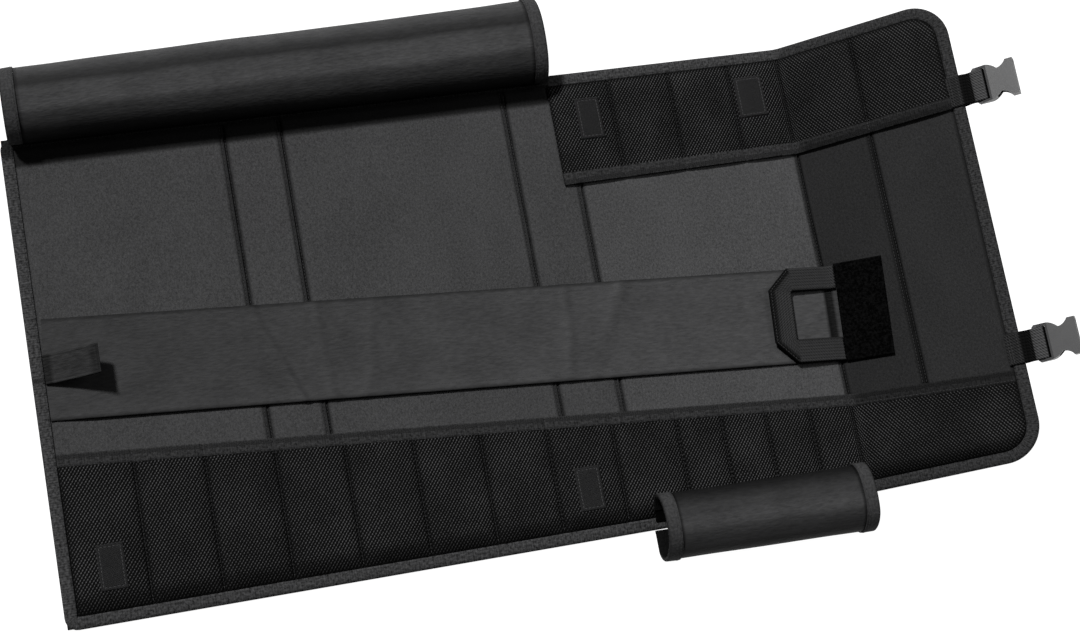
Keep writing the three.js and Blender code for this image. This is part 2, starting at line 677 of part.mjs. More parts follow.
// The socket half of a side-release buckle, in its own frame: +X towards its mouth, the bar at 0
function socketOutline() {
  const half = SOCKET_WIDTH / 2;
  const waist = SOCKET_WAIST / 2;
  const tail = -BAR_HALF;
  const shoulder = SOCKET_BODY_START;
  const neck = SOCKET_BODY_START + (SOCKET_LENGTH - SOCKET_BODY_START) * 0.38;
  const lip = SOCKET_LENGTH - SOCKET_LIP;
  const flank = half - SOCKET_SWELL;
  const curve = (...corners) => {
    const [from, by, to] = corners.map(([x, y]) => new THREE.Vector2(x, y));
    return new THREE.QuadraticBezierCurve(from, by, to).getPoints(SOCKET_STEPS);
  };
  const upper = [
    new THREE.Vector2(tail, half - SOCKET_CHAMFER),
    new THREE.Vector2(tail + SOCKET_CHAMFER, half),
    ...curve([shoulder - SOCKET_CHAMFER, flank], [shoulder + SOCKET_CHAMFER * 2, flank], [neck, waist]),
    ...curve([neck, waist], [neck + SOCKET_CHAMFER * 2, waist], [lip, half - SOCKET_CHAMFER]).slice(1),
    new THREE.Vector2(lip + SOCKET_CHAMFER / 2, flank),
    new THREE.Vector2(SOCKET_LENGTH, flank),
  ];
  const lower = upper.map(({ x, y }) => new THREE.Vector2(x, -y)).reverse();
  return new THREE.Shape([...upper, ...lower]);
}

function buckleSocket() {
  const body = new THREE.ExtrudeGeometry(socketOutline(), { depth: SOCKET_THICKNESS, bevelEnabled: false });
  body.translate(0, 0, -SOCKET_THICKNESS / 2);
  // Side view: the body thins from its shoulder to the bar
  const thick = SOCKET_THICKNESS / 2;
  const upper = [
    new THREE.Vector2(-BAR_HALF, BAR_HALF),
    new THREE.Vector2(BAR_HALF * 2, BAR_HALF + SOCKET_SWELL),
    new THREE.Vector2(SOCKET_BODY_START, thick),
    new THREE.Vector2(SOCKET_LENGTH, thick),
  ];
  const lower = upper.map(({ x, y }) => new THREE.Vector2(x, -y)).reverse();
  const slab = new THREE.ExtrudeGeometry(new THREE.Shape([...upper, ...lower]), {
    depth: SOCKET_WIDTH + 2,
    bevelEnabled: false,
  });
  slab.rotateX(Math.PI / 2);
  slab.translate(0, SOCKET_WIDTH / 2 + 1, 0);
  const between = SOCKET_WIDTH - 2 * SOCKET_SIDE;
  const slotEnd = SOCKET_BODY_START - SOCKET_FLOOR / 2;
  const slot = new THREE.BoxGeometry(slotEnd - BAR_HALF, between, 3 * SOCKET_THICKNESS);
  slot.translate((slotEnd + BAR_HALF) / 2, 0, 0);
  const hollow = new THREE.BoxGeometry(SOCKET_LENGTH, between, SOCKET_THICKNESS - 2 * SOCKET_WALL);
  hollow.translate(SOCKET_BODY_START + SOCKET_FLOOR + SOCKET_LENGTH / 2, 0, 0);
  return geometryOf(solidOf(body).intersect(solidOf(slab)).subtract(solidOf(slot)).subtract(solidOf(hollow)));
}

// Assembly

const group = new THREE.Group();

function add(name, geometry, finish) {
  const mesh = new THREE.Mesh(geometry, finish);
  mesh.name = name;
  group.add(mesh);
  return mesh;
}

const liningCloth = material("lining", 0.85);
const bindingTape = material("binding", 0.8);
const meshCloth = material("mesh", 0.95);
const satinNylon = material("satin", 0.5);
const hookAndLoop = material("hook", 1);
const webbing = material("webbing", 0.7);
const plastic = material("plastic", 0.4);

add("padded_panel", paddedPanel(), liningCloth);
add("edge_binding", edgeBinding(), bindingTape);
BOTTOM_LENGTHS.forEach(({ name, first, last }) => add(name, pockets.bottom.wall(first, last), meshCloth));
add("bottom_pocket_tape", pockets.bottom.mouthTape(), bindingTape);
add("top_mesh_pocket", pockets.top.wall(), meshCloth);
add("top_pocket_tape", pockets.top.mouthTape(), bindingTape);
HOOK_PLACES.forEach((patch) => add(patch.name, pockets[patch.on].patch(patch), hookAndLoop));
add("top_cover_flap", topCover.wall(), satinNylon);
add("top_cover_binding", topCover.tape(), bindingTape);
add("bottom_cover_flap", bottomCover.wall(), satinNylon);
add("bottom_cover_binding", bottomCover.tape(), bindingTape);
add("carrying_band", carryingBand(), satinNylon);
add("loop_patch", loopPatch(), hookAndLoop);
add("carry_handle", carryHandle(), webbing);
add("pull_tab", pullTab(), satinNylon);
add("pull_tab_hook", pullTabHook(), hookAndLoop);

const socket = buckleSocket();
for (const [place, across] of [["upper", UPPER_STRAP_AT], ["lower", LOWER_STRAP_AT]]) {
  add(`buckle_strap_${place}`, buckleStrap(across), webbing);
  const buckle = add(`buckle_socket_${place}`, socket.clone(), plastic);
  buckle.position.copy(onCase(BAR_AT, across, BAR_MIDDLE));
  buckle.rotation.y = -END_FLAP_ANGLE;
}

// The origin lies under the middle of the whole object, on the surface it rests on
group.updateMatrixWorld(true);
const box = new THREE.Box3().setFromObject(group, true);
const centre = box.getCenter(new THREE.Vector3());
group.position.set(-centre.x, -centre.y, -box.min.z);

export default group;
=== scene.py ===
"""The chef's knife roll laid open: sheet, pockets, curled covers, band, handle and buckles."""
import math

import bpy
import numpy as np
from mathutils import Matrix, Vector


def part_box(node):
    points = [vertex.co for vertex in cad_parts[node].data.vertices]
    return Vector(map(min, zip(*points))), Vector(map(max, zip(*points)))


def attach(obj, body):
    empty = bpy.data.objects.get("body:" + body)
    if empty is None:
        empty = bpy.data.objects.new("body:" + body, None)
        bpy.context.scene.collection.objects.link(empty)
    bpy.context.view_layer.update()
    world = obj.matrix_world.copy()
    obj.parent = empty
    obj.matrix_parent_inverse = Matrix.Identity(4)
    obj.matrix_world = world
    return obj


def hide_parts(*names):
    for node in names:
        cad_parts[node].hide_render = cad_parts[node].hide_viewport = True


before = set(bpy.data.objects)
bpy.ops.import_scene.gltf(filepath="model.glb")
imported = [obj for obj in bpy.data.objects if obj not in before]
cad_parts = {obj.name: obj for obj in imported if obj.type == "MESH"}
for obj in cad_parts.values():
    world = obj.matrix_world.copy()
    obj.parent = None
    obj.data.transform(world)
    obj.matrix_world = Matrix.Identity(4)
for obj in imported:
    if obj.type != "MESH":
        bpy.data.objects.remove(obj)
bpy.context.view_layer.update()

# Camera, floor and lamps
# The case lies on an evenly white studio floor and is seen from above its lower left corner, through a long
# lens. One small soft lamp stands at the upper left and draws the shadows. A wide dim one fills the right.
CAMERA_FROM_CASE = (0.0709, -0.33371, 1.7323)
CAMERA_RIGHT = (0.96508, -0.18174, 0.18865)
CAMERA_UP = (0.14024, 0.96674, 0.21390)
CAMERA_LENS = 63.333
FLOOR_SIZE = 9.0
FLOOR_DROP = 0.0004
FLOOR_GLOW = 1.0
KEY_FROM = (-0.37, 0.55, 0.75)
KEY_STRENGTH = 6.5
KEY_SPREAD = math.radians(7)
FILL_AT = (0.95, 0.2, 1.3)
FILL_SIZE = 0.9
FILL_WATTS = 9.0
DAYLIGHT = 0.06

edge_low, edge_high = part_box("edge_binding")
camera_at = Vector((edge_low[0], (edge_low[1] + edge_high[1]) / 2, 0)) + Vector(CAMERA_FROM_CASE)
camera = bpy.data.objects.new("camera", bpy.data.cameras.new("camera"))
bpy.context.scene.collection.objects.link(camera)
right = Vector(CAMERA_RIGHT).normalized()
back = right.cross(Vector(CAMERA_UP)).normalized()
up = back.cross(right)
camera.matrix_world = Matrix((
    (right.x, up.x, back.x, camera_at[0]),
    (right.y, up.y, back.y, camera_at[1]),
    (right.z, up.z, back.z, camera_at[2]),
    (0, 0, 0, 1),
))
camera.data.lens = CAMERA_LENS
camera.data.sensor_width = 36
camera.data.clip_start = 0.05
camera.data.clip_end = 30
bpy.context.scene.camera = camera


def let_go():
    """Deselects everything, so that the next operator works on one piece alone."""
    bpy.ops.object.select_all(action="DESELECT")


def new_grid(columns, rows, **settings):
    """A new flat grid, which is then the only selected piece."""
    let_go()
    bpy.ops.mesh.primitive_grid_add(x_subdivisions=columns, y_subdivisions=rows, **settings)
    return bpy.context.object


def set_inputs(node, values):
    for name, value in values.items():
        node.inputs[name].default_value = value


floor = new_grid(2, 2, size=FLOOR_SIZE, location=(0, 0, -FLOOR_DROP))
floor.name = "studio_floor"
floor_paint = bpy.data.materials.new("pale_floor")
floor_paint.use_nodes = True
set_inputs(floor_paint.node_tree.nodes["Principled BSDF"], {
    "Base Color": (0.12, 0.12, 0.12, 1), "Roughness": 0.9, "Specular IOR Level": 0.1,
    "Emission Color": (1, 1, 1, 1), "Emission Strength": FLOOR_GLOW})
floor.data.materials.append(floor_paint)

key = bpy.data.lights.new("upper_left", "SUN")
key.energy = KEY_STRENGTH
key.angle = KEY_SPREAD
fill = bpy.data.lights.new("right_fill", "AREA")
fill.energy = FILL_WATTS
fill.size = FILL_SIZE
for light, at in ((key, KEY_FROM), (fill, FILL_AT)):
    holder = bpy.data.objects.new(light.name, light)
    bpy.context.scene.collection.objects.link(holder)
    holder.location = at
    holder.rotation_euler = (-Vector(at)).to_track_quat("-Z", "Y").to_euler()
world = bpy.data.worlds.new("daylight")
bpy.context.scene.world = world
world.use_nodes = True
set_inputs(world.node_tree.nodes["Background"], {"Color": (1, 1, 1, 1), "Strength": DAYLIGHT})
bpy.context.scene.view_settings.view_transform = "Standard"

# Padded sheet
# Foam between a woven lining and an outer shell, quilted by double seams into three panels, two spines
# and the end flap, which stands up at its fold. The lining is a fine plain weave with a faint slub.
CASE_WIDTH = 450
FLAT_LENGTH = 758
END_FLAP_LENGTH = 170
END_FLAP_ANGLE = math.radians(35)
FOLD_RADIUS = 25
PANEL_THICKNESS = 5.5
LEFT_CORNER = 10
RIGHT_CORNER = 35
BINDING_WIDTH = 11.2
BINDING_HEIGHT = 6
BINDING_TAPE = 1.2
CLEARANCE = 0.3
SEAMS = (201.5, 255, 472.5, 532.5, 758, 835)
SEAM_DEPTH = 1.9
SEAM_BEAD = 0.8
SEAM_GAP = 3.4
# How far in the solid's own binding reaches, which is wider than the visible one
SOLID_INSET = 12.8

TOTAL_LENGTH = FLAT_LENGTH + END_FLAP_LENGTH
HALF_WIDTH = CASE_WIDTH / 2
FOLD_START = FLAT_LENGTH - FOLD_RADIUS * END_FLAP_ANGLE / 2
BINDING_PROUD = CLEARANCE + BINDING_TAPE
INNER_INSET = BINDING_WIDTH - BINDING_PROUD + CLEARANCE
CASE_ORIGIN = np.array([
    edge_low[0] * 1000 + BINDING_PROUD,
    (edge_low[1] + edge_high[1]) * 500,
    0,
])


def on_case(along, across, above):
    """Points of the open case, in its own millimetres: along it, across it and above its lower face."""
    turned = np.clip((along - FOLD_START) / FOLD_RADIUS, 0, END_FLAP_ANGLE)
    straight = along - FOLD_START - turned * FOLD_RADIUS
    x = FOLD_START + (FOLD_RADIUS - above) * np.sin(turned) + straight * np.cos(turned)
    z = FOLD_RADIUS - (FOLD_RADIUS - above) * np.cos(turned) + straight * np.sin(turned)
    return np.stack(np.broadcast_arrays(x, across, z), axis=-1)


def inset_of(along, across):
    """How far a place lies inside the case's outline, which has small corners left and large ones right."""
    far = along > TOTAL_LENGTH / 2
    radius = np.where(far, RIGHT_CORNER, LEFT_CORNER)
    past = np.where(far, along - (TOTAL_LENGTH - RIGHT_CORNER), LEFT_CORNER - along)
    beyond = np.abs(across) - (HALF_WIDTH - radius)
    rounded = radius - np.hypot(past, beyond)
    straight = radius - np.maximum(past, beyond)
    return np.where((past > 0) & (beyond > 0), rounded, straight)


def crumple(a, b, seed):
    """A soft uneven field from -1 to 1 over two lengths, made of seven waves in chance directions."""
    chance = np.random.default_rng(seed)
    turns, stretches, phases = [chance.uniform(low, high, 7)
                                for low, high in ((0, math.pi), (0.6, 1.8), (0, 6.28))]
    field = 0
    for turn, stretch, phase in zip(turns, stretches, phases):
        field = field + np.sin(stretch * (a * math.cos(turn) + b * math.sin(turn)) + phase)
    return field / 7 ** 0.5 / 1.4


def spread(start, end, step):
    return list(np.linspace(start, end, max(2, int(round((end - start) / step)) + 1)))


def rounded(edge, radius):
    """How thick an edge is, from 0 to 1, as it rounds off over a radius."""
    return np.sqrt(np.clip(edge / radius, 0, 1))


def both_edges(low, high, insets):
    """Stations at some insets from both edges."""
    return [low + inset for inset in insets] + [high - inset for inset in insets]


def merged(*lists, least=0.25):
    """One rising list of stations from several, without near doubles."""
    kept = []
    for value in sorted(v for part in lists for v in part):
        if not kept or value - kept[-1] > least:
            kept.append(float(value))
    return np.array(kept)


def finish_mesh(piece, name, angle=50):
    """Names a shaped piece, rounds its shading and puts it on the case."""
    piece.name = name
    piece.data.name = name
    let_go()
    piece.select_set(True)
    bpy.context.view_layer.objects.active = piece
    bpy.ops.object.shade_smooth_by_angle(angle=math.radians(angle))
    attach(piece, "root")
    return piece


def place_vertices(piece, points, flat):
    """Moves a mesh's vertices to points in millimetres, and keeps where they lie on the flat cloth."""
    piece.data.vertices.foreach_set("co", ((points + CASE_ORIGIN) / 1000).astype(np.float32).ravel())
    kept = piece.data.attributes.new("flat", "FLOAT_VECTOR", "POINT")
    kept.data.foreach_set("vector", (flat / 1000).astype(np.float32).ravel())
    piece.data.update()


def refit_flat(piece, change):
    """Changes the kept flat places of a mesh, where its rows or columns weren't millimetres."""
    kept = piece.data.attributes["flat"].data
    stored = np.empty(len(kept) * 3, np.float32)
    kept.foreach_get("vector", stored)
    kept.foreach_set("vector", np.asarray(change(stored.reshape(-1, 3)), np.float32).ravel())


def grid_places(piece, columns, rows):
    """The column, row and height of each vertex of a grid of size 1."""
    where = np.empty(len(piece.data.vertices) * 3, np.float32)
    piece.data.vertices.foreach_get("co", where)
    x, y, z = where.reshape(-1, 3).T
    return np.rint((x + 0.5) * columns).astype(int), np.rint((y + 0.5) * rows).astype(int), z


def cloth(name, columns, rows, face, angle=50):
    """A cloth wall: a grid given its thickness, whose upper and lower side lie on face(1) and face(-1)."""
    piece = new_grid(len(columns) - 1, len(rows) - 1, size=1)
    wall = piece.modifiers.new("wall", "SOLIDIFY")
    wall.thickness = 0.1
    wall.offset = -1
    bpy.ops.object.modifier_apply(modifier="wall")
    i, j, height = grid_places(piece, len(columns) - 1, len(rows) - 1)
    u, v = np.asarray(columns)[i], np.asarray(rows)[j]
    under = height < -0.05
    points = np.where(under[:, None], face(-1, u, v), face(1, u, v))
    place_vertices(piece, points, np.stack([u, v, np.where(under, -1.0, 1.0)], axis=-1))
    return finish_mesh(piece, name, angle)


def seam_relief(along, across):
    """How deep the double seams pull the sheet in, with the bead of cloth between their two rows."""
    depth = 0
    for number, seam in enumerate(SEAMS):
        off = along - seam - 0.5 * crumple(across / 40, number, 11 + number)
        pucker = 1 + 0.3 * crumple(across / 3.2, number, 31 + number)
        depth = depth + SEAM_DEPTH * pucker * np.exp(-(off / 0.9) ** 2)
        depth = depth + 0.55 * np.exp(-((off + SEAM_GAP) / 0.7) ** 2)
        depth = depth - SEAM_BEAD * np.exp(-((off + 1.9) / 0.8) ** 2)
        depth = depth + 0.35 * np.exp(-(off / 5) ** 2)
    return depth


def lining_height(along, across):
    loose = 0.16 * crumple(along / 34, across / 34, 5) + 0.06 * crumple(along / 9, across / 9, 6)
    return PANEL_THICKNESS + loose - seam_relief(along, across)


def sheet_face(side, along, share):
    """The lining's upper face or the shell's lower one, with an edge that lies inside the binding."""
    inset = np.abs(np.abs(share) - 1) * HALF_WIDTH
    half = HALF_WIDTH - RIGHT_CORNER + np.sqrt(
        np.maximum(RIGHT_CORNER ** 2 - np.maximum(along - (TOTAL_LENGTH - RIGHT_CORNER), 0) ** 2, 1))
    across = np.sign(share) * np.maximum(half - inset, 0) * (np.abs(share) > 1e-6)
    rise = np.clip((inset_of(along, across) - INNER_INSET) / 4, 0, 1)
    rise = rise * rise * (3 - 2 * rise)
    edge_height = BINDING_HEIGHT - BINDING_PROUD
    if side > 0:
        above = edge_height + rise * (lining_height(along, across) - edge_height)
    else:
        above = BINDING_PROUD * (1 - rise) + 0.3 * np.clip(seam_relief(along, across), 0, 2) * rise
    return on_case(along, across, above)


def past_seam(flat):
    """The lining's flat places, with the distance to the nearest row of stitches in place of the face."""
    off = flat[:, :1] * 1000 - np.array(SEAMS)
    nearest = np.minimum(np.abs(off), np.abs(off + SEAM_GAP) + 0.6).min(axis=1, keepdims=True)
    return np.concatenate([flat[:, :1], flat[:, 1:2] * HALF_WIDTH, nearest / 1000], axis=1)


SEAM_OFFSETS = (
    -8, -5.5, -4.3, -3.8, -3.4, -3, -2.5, -1.9, -1.3, -0.8, -0.4, 0, 0.4, 0.8, 1.4, 2.4, 4, 7)
edge_insets = [0] + [INNER_INSET + off for off in range(5)]
sheet_columns = merged(
    both_edges(0, TOTAL_LENGTH, edge_insets), [seam + off for seam in SEAMS for off in SEAM_OFFSETS],
    spread(20, TOTAL_LENGTH - 20, 4.5),
    spread(FOLD_START, FOLD_START + FOLD_RADIUS * END_FLAP_ANGLE, 2.5), least=0.35)
half_rows = [1 - inset / HALF_WIDTH for inset in edge_insets]
half_rows += spread(0, 1 - 20 / HALF_WIDTH, 3.2 / HALF_WIDTH)
sheet_rows = merged(half_rows, [-row for row in half_rows], least=0.002)
lining_sheet = cloth("lining_sheet", sheet_columns, sheet_rows, sheet_face, angle=60)
refit_flat(lining_sheet, past_seam)
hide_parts("padded_panel")


class Shade:
    """An output in a material's nodes. Python's operators on it add Math nodes."""

    def __init__(self, tree, socket):
        self.tree = tree
        self.socket = socket

    def node(self, kind, sockets, out=0, stops=None, **settings):
        made = self.tree.nodes.new("ShaderNode" + kind)
        for name, value in settings.items():
            setattr(made, name, value)
        if stops:
            ramp = made.color_ramp
            ramp.elements[0].position, ramp.elements[-1].position = stops[0][0], stops[-1][0]
            for place, _ in stops[1:-1]:
                ramp.elements.new(place)
            for element, (_, grey) in zip(ramp.elements, stops):
                element.color = (grey, grey, grey, 1)
        for name, value in sockets.items():
            if isinstance(value, Shade):
                self.tree.links.new(value.socket, made.inputs[name])
            else:
                made.inputs[name].default_value = value
        return Shade(self.tree, made.outputs[out])

    def sum(self, operation, *values):
        return self.node("Math", dict(enumerate(values)), operation=operation)

    def __add__(self, other):
        return self.sum("ADD", self, other)

    __radd__ = __add__

    def __sub__(self, other):
        return self.sum("SUBTRACT", self, other)

    def __rsub__(self, other):
        return self.sum("SUBTRACT", other, self)

    def __mul__(self, other):
        return self.sum("MULTIPLY", self, other)

    def wave(self, pitch, kind="SINE"):
        """A wave from -1 to 1 that repeats at every pitch."""
        return self.sum(kind, self * (2 * math.pi / pitch))

    def size(self):
        return self.sum("ABSOLUTE", self)

    def over(self, low, high):
        """0 below low, 1 above high, and smooth between."""
        return self.node("MapRange", {"Value": self, "From Min": low, "From Max": high},
                         interpolation_type="SMOOTHSTEP")

    def noise(self, scale, detail=2.0, roughness=0.5):
        """Noise over this vector, from 0 to 1."""
        return self.node("TexNoise", {
            "Vector": self, "Scale": scale, "Detail": detail, "Roughness": roughness})

    def axis(self, number):
        return self.node("SeparateXYZ", {"Vector": self}, out=number)

    def ramp(self, *stops):
        """A grey that runs through stops of place and brightness."""
        return self.node("ValToRGB", {"Fac": self}, stops=stops)

    def times(self, *others):
        """This colour multiplied by others."""
        product = self
        for other in others:
            product = self.node("Mix", {0: 1.0, 6: product, 7: other}, out=2, data_type="RGBA",
                                blend_type="MULTIPLY")
        return product

    def between(self, low, high):
        """A colour from low to high, as this value goes from 0 to 1."""
        return self.node("Mix", {0: self, 6: low, 7: high}, out=2, data_type="RGBA")

    def veil(self, tone):
        """White where this value is 0, and a tone where it is 1."""
        return self.between((1, 1, 1, 1), tone if isinstance(tone, Shade) else (tone, tone, tone, 1))


def material(name, roughness, specular=0.05):
    """A new finish, and the flat places of the cloth that wears it."""
    made = bpy.data.materials.new(name)
    made.use_nodes = True
    set_inputs(made.node_tree.nodes["Principled BSDF"], {
        "Roughness": roughness, "Specular IOR Level": specular})
    flat = made.node_tree.nodes.new("ShaderNodeAttribute")
    flat.attribute_name = "flat"
    return made, Shade(made.node_tree, flat.outputs["Vector"])


def finish_shader(made, colour, height=None, distance=0.0, strength=1.0, roughness=None):
    """Links a colour, a bump height and a roughness to a finish's shader."""
    tree = made.node_tree
    shader = tree.nodes["Principled BSDF"]
    tree.links.new(colour.socket, shader.inputs["Base Color"])
    if height is not None:
        bump = height.node("Bump", {"Height": height, "Strength": strength, "Distance": distance})
        tree.links.new(bump.socket, shader.inputs["Normal"])
    if roughness is not None:
        tree.links.new(roughness.socket, shader.inputs["Roughness"])
    return made


def wear(piece, finish):
    piece.data.materials.clear()
    piece.data.materials.append(finish)


def grey(value):
    return (value, value, value * 1.02, 1)


lining_finish, flat = material("woven_lining", 0.75)
slub = flat.noise(430) * 0.5 + flat.noise(950) * 0.5
worn = flat.noise(14).over(0.25, 0.75)
speck = flat.noise(1100, 1.0).over(0.68, 0.76)
tone = ((slub - 0.5) * 1.9 + 0.47 + (worn - 0.5) * 0.1 + speck * 0.5).between(grey(0.012), grey(0.0565))
# The needle's lines are dark. Painted light and shade: the third panel is painted lighter where more light
# falls, the end flap's cloth much darker for the shade it turns into, and painted shadow lies beside the
# binding and under the large roll
at_seam = flat.axis(2).ramp((0.0006, 0.1), (0.0011, 1.0))
painted_light_by_panel = flat.axis(0).ramp(
    (0.0105, 0.2), (0.0118, 0.77), (0.528, 0.76), (0.536, 0.94), (0.753, 0.94), (0.757, 0.26),
    (0.832, 0.26), (0.838, 0.32), (0.9165, 0.32), (0.9176, 0.08), (0.93, 0.08))
# Painted shadow under the large roll
painted_roll_shadow = (flat.axis(1).over(0.195, 0.200) * flat.axis(0).over(0.520, 0.512)).veil(0.2)
finish_shader(lining_finish, tone.times(painted_light_by_panel, at_seam, painted_roll_shadow), slub, 0.0006, strength=0.8)
wear(lining_sheet, lining_finish)

# Stitches
# Every seam is sewn with a black bonded thread. One stitch is a short pointed bead, and a seam's
# stitches are copies of it in one mesh, laid end to end on the cloth.
STITCH = {"pitch": 3.2, "length": 2.6, "width": 0.55, "height": 0.34}

let_go()
bpy.ops.mesh.primitive_uv_sphere_add(segments=5, ring_count=4, radius=1)
stitch_model = bpy.context.object
STITCH_POINTS = np.array([vertex.co for vertex in stitch_model.data.vertices])[:, [2, 0, 1]]
STITCH_FACES = [tuple(face.vertices) for face in stitch_model.data.polygons]
bpy.data.objects.remove(stitch_model)
thread_finish, flat = material("bonded_thread", 0.6)
finish_shader(thread_finish, flat.noise(1500, 1.0).between(grey(0.018), grey(0.04)))


def travel_of(points):
    """How far along a path each of its points lies."""
    return np.concatenate([[0], np.cumsum(np.linalg.norm(np.diff(points, axis=0), axis=1))])


def sew(name, runs):
    """One mesh of stitches along runs of points, each run a pair of arrays: places and normals."""
    points = []
    reach = STITCH["length"] / 2
    for places, normals in runs:
        travel = travel_of(places)
        count = int(travel[-1] / STITCH["pitch"])
        middles = (np.arange(count) + 0.5) * travel[-1] / max(count, 1)

        def on_run(values, off=0.0):
            return np.stack([np.interp(middles + off, travel, values[:, k]) for k in range(3)], axis=-1)

        ahead = on_run(places, reach) - on_run(places, -reach)
        ahead /= np.linalg.norm(ahead, axis=1)[:, None]
        side = np.cross(on_run(normals), ahead)
        side /= np.linalg.norm(side, axis=1)[:, None]
        axes = (reach * ahead, STITCH["width"] / 2 * side, STITCH["height"] * np.cross(ahead, side))
        points.append(on_run(places)[:, None, :] + sum(
            STITCH_POINTS[None, :, k, None] * axis[:, None, :] for k, axis in enumerate(axes)))
    beads = np.concatenate(points)
    faces = [tuple(k * len(STITCH_POINTS) + index for index in face)
             for k in range(len(beads)) for face in STITCH_FACES]
    mesh = bpy.data.meshes.new(name)
    everywhere = beads.reshape(-1, 3)
    mesh.from_pydata([(0, 0, 0)] * len(everywhere), [], faces)
    piece = bpy.data.objects.new(name, mesh)
    bpy.context.scene.collection.objects.link(piece)
    place_vertices(piece, everywhere, everywhere)
    wear(piece, thread_finish)
    return finish_mesh(piece, name)


def run_of(place, off):
    """A seam's places at a height over its cloth, and the cloth's normals there."""
    low = place(off)
    return low, place(off + 1) - low


sewn = np.linspace(-HALF_WIDTH + INNER_INSET, HALF_WIDTH - INNER_INSET, 160)
sew("seam_stitches", [
    run_of(lambda off: on_case(seam_row, sewn, lining_height(seam_row, sewn) + off), 0.05)
    for seam in SEAMS for seam_row in (seam, seam - SEAM_GAP)])

# Edge binding
# A ribbed tape folded over the sheet's raw edge all round and sewn through once, near its inner edge.
# It narrows and puckers a little at the rounded corners of the end flap.
BINDING_SECTION = [
    (9.6, 5.35), (9.7, 5.75), (9.2, 6.0), (6.8, 6.08), (4.0, 6.05), (1.5, 5.9), (-0.4, 5.3), (-1.3, 4.3),
    (-1.5, 3.0), (-1.3, 1.7), (-0.4, 0.7), (1.5, 0.15), (4.5, 0.02), (7.5, 0.0), (9.7, 0.2), (9.7, 1.1),
    (6.0, 1.15), (0.5, 1.3), (-0.3, 2.2), (-0.3, 3.8), (0.5, 4.7), (6.0, 4.8),
]


def outline():
    """The case's outline, once round, as along and across."""
    def corner(along, radius, angles):
        return [(along + radius * math.cos(a), HALF_WIDTH - radius + radius * math.sin(a)) for a in angles]

    right_end = TOTAL_LENGTH - RIGHT_CORNER
    stations = merged(
        spread(LEFT_CORNER + 2, right_end, 4.0), spread(FOLD_START, FOLD_START + 16, 2), least=1.0)
    upper = [(0, (HALF_WIDTH - LEFT_CORNER) * share) for share in np.linspace(0, 1, 54)[:-1]]
    upper += corner(LEFT_CORNER, LEFT_CORNER, np.linspace(math.pi, math.pi / 2, 7))
    upper += [(s, HALF_WIDTH) for s in stations if s > upper[-1][0] + 0.5]
    upper += corner(right_end, RIGHT_CORNER, np.linspace(math.pi / 2, 0, 17)[1:])
    upper += [(TOTAL_LENGTH, (HALF_WIDTH - RIGHT_CORNER) * share) for share in np.linspace(1, 0, 50)[1:]]
    return np.array(upper + [(s, -v) for s, v in upper[-2:0:-1]])


def folded_tape(name, rings, travel, section, closed=False):
    """A tape whose rings of points go round its section, each at its travel along the tape."""
    columns, rows = rings.shape[:2]
    spans = columns if closed else columns - 1
    piece = new_grid(spans, rows, size=1)
    i, j, _ = grid_places(piece, spans, rows)
    flats = np.stack(np.broadcast_arrays(travel[:, None], travel_of(section)[None, :], 0.0), axis=-1)
    place_vertices(piece, rings[i % columns, j % rows], flats[i % columns, j % rows])
    bpy.ops.object.mode_set(mode="EDIT")
    bpy.ops.mesh.select_all(action="SELECT")
    bpy.ops.mesh.remove_doubles(threshold=0.00001)
    if not closed:
        bpy.ops.mesh.select_all(action="DESELECT")
        bpy.ops.mesh.select_non_manifold()
        bpy.ops.mesh.fill_holes(sides=0)
    bpy.ops.mesh.select_all(action="SELECT")
    bpy.ops.mesh.normals_make_consistent(inside=False)
    bpy.ops.object.mode_set(mode="OBJECT")
    return finish_mesh(piece, name)


base_path = outline()
lengths = travel_of(base_path)


def inward_path(inset):
    """The outline moved in by an inset along its own normals, so that every station has its partner."""
    s, v = base_path[:, 0], base_path[:, 1]
    far = s > TOTAL_LENGTH / 2
    radius = np.where(far, RIGHT_CORNER, LEFT_CORNER)
    centre_s = np.where(far, TOTAL_LENGTH - RIGHT_CORNER, LEFT_CORNER)
    centre_v = HALF_WIDTH - radius
    past = np.where(far, s - centre_s, centre_s - s)
    beyond = np.abs(v) - centre_v
    corner = (past > 1e-6) & (beyond > 1e-6)
    shrink = np.maximum(radius - inset, 0.8) / radius
    corner_s = centre_s + (s - centre_s) * shrink
    corner_v = np.sign(v) * (centre_v + (np.abs(v) - centre_v) * shrink)
    on_end = (past > radius - 1e-6) & ~corner
    edge_s = np.where(on_end, np.where(far, s - inset, s + inset), s)
    edge_v = np.where(on_end, v, np.sign(v) * (np.abs(v) - inset))
    limit = HALF_WIDTH - inset
    edge_v = np.clip(edge_v, -limit, limit)
    return np.where(corner, corner_s, edge_s), np.where(corner, corner_v, edge_v)


def binding_ring(inset, above):
    ripple = 0.09 * crumple(lengths / 5, inset / 6, 41) * (above > 3)
    return on_case(*inward_path(inset), above + ripple)


def object_places(made):
    """The places of a finish on its object, in metres."""
    place_on = made.node_tree.nodes.new("ShaderNodeTexCoord")
    return Shade(made.node_tree, place_on.outputs["Object"])


def painted_flap_and_roll_shade(made, least):
    """Painted shade: darker past the fold, where the end flap turns from the light, and painted shadow beside
    the large roll.
    """
    there = object_places(made)
    painted_shadow_by_roll = there.axis(1).over(0.184, 0.19) * there.axis(0).over(0.052, 0.044)
    return there.axis(0).ramp((0.283, 1.0), (0.291, least)).times(painted_shadow_by_roll.veil(0.25))


def ribbed_tape(name, dark, light, painted_flap_shade):
    """Ribbed tape, flecked, with painted shade on the end flap and painted shadow beside the large roll."""
    made, flat = material(name, 0.75)
    rib = flat.axis(0).wave(0.0022) * 0.5 + 0.5
    fleck = (flat.noise(400, 3.0) - 0.5) * 2.6 + 0.5
    colour = (rib * 0.15 + fleck * 0.85).between(grey(dark), grey(light))
    return finish_shader(made, colour.times(painted_flap_and_roll_shade(made, painted_flap_shade)), rib * 0.3 + fleck * 0.7, 0.0005)


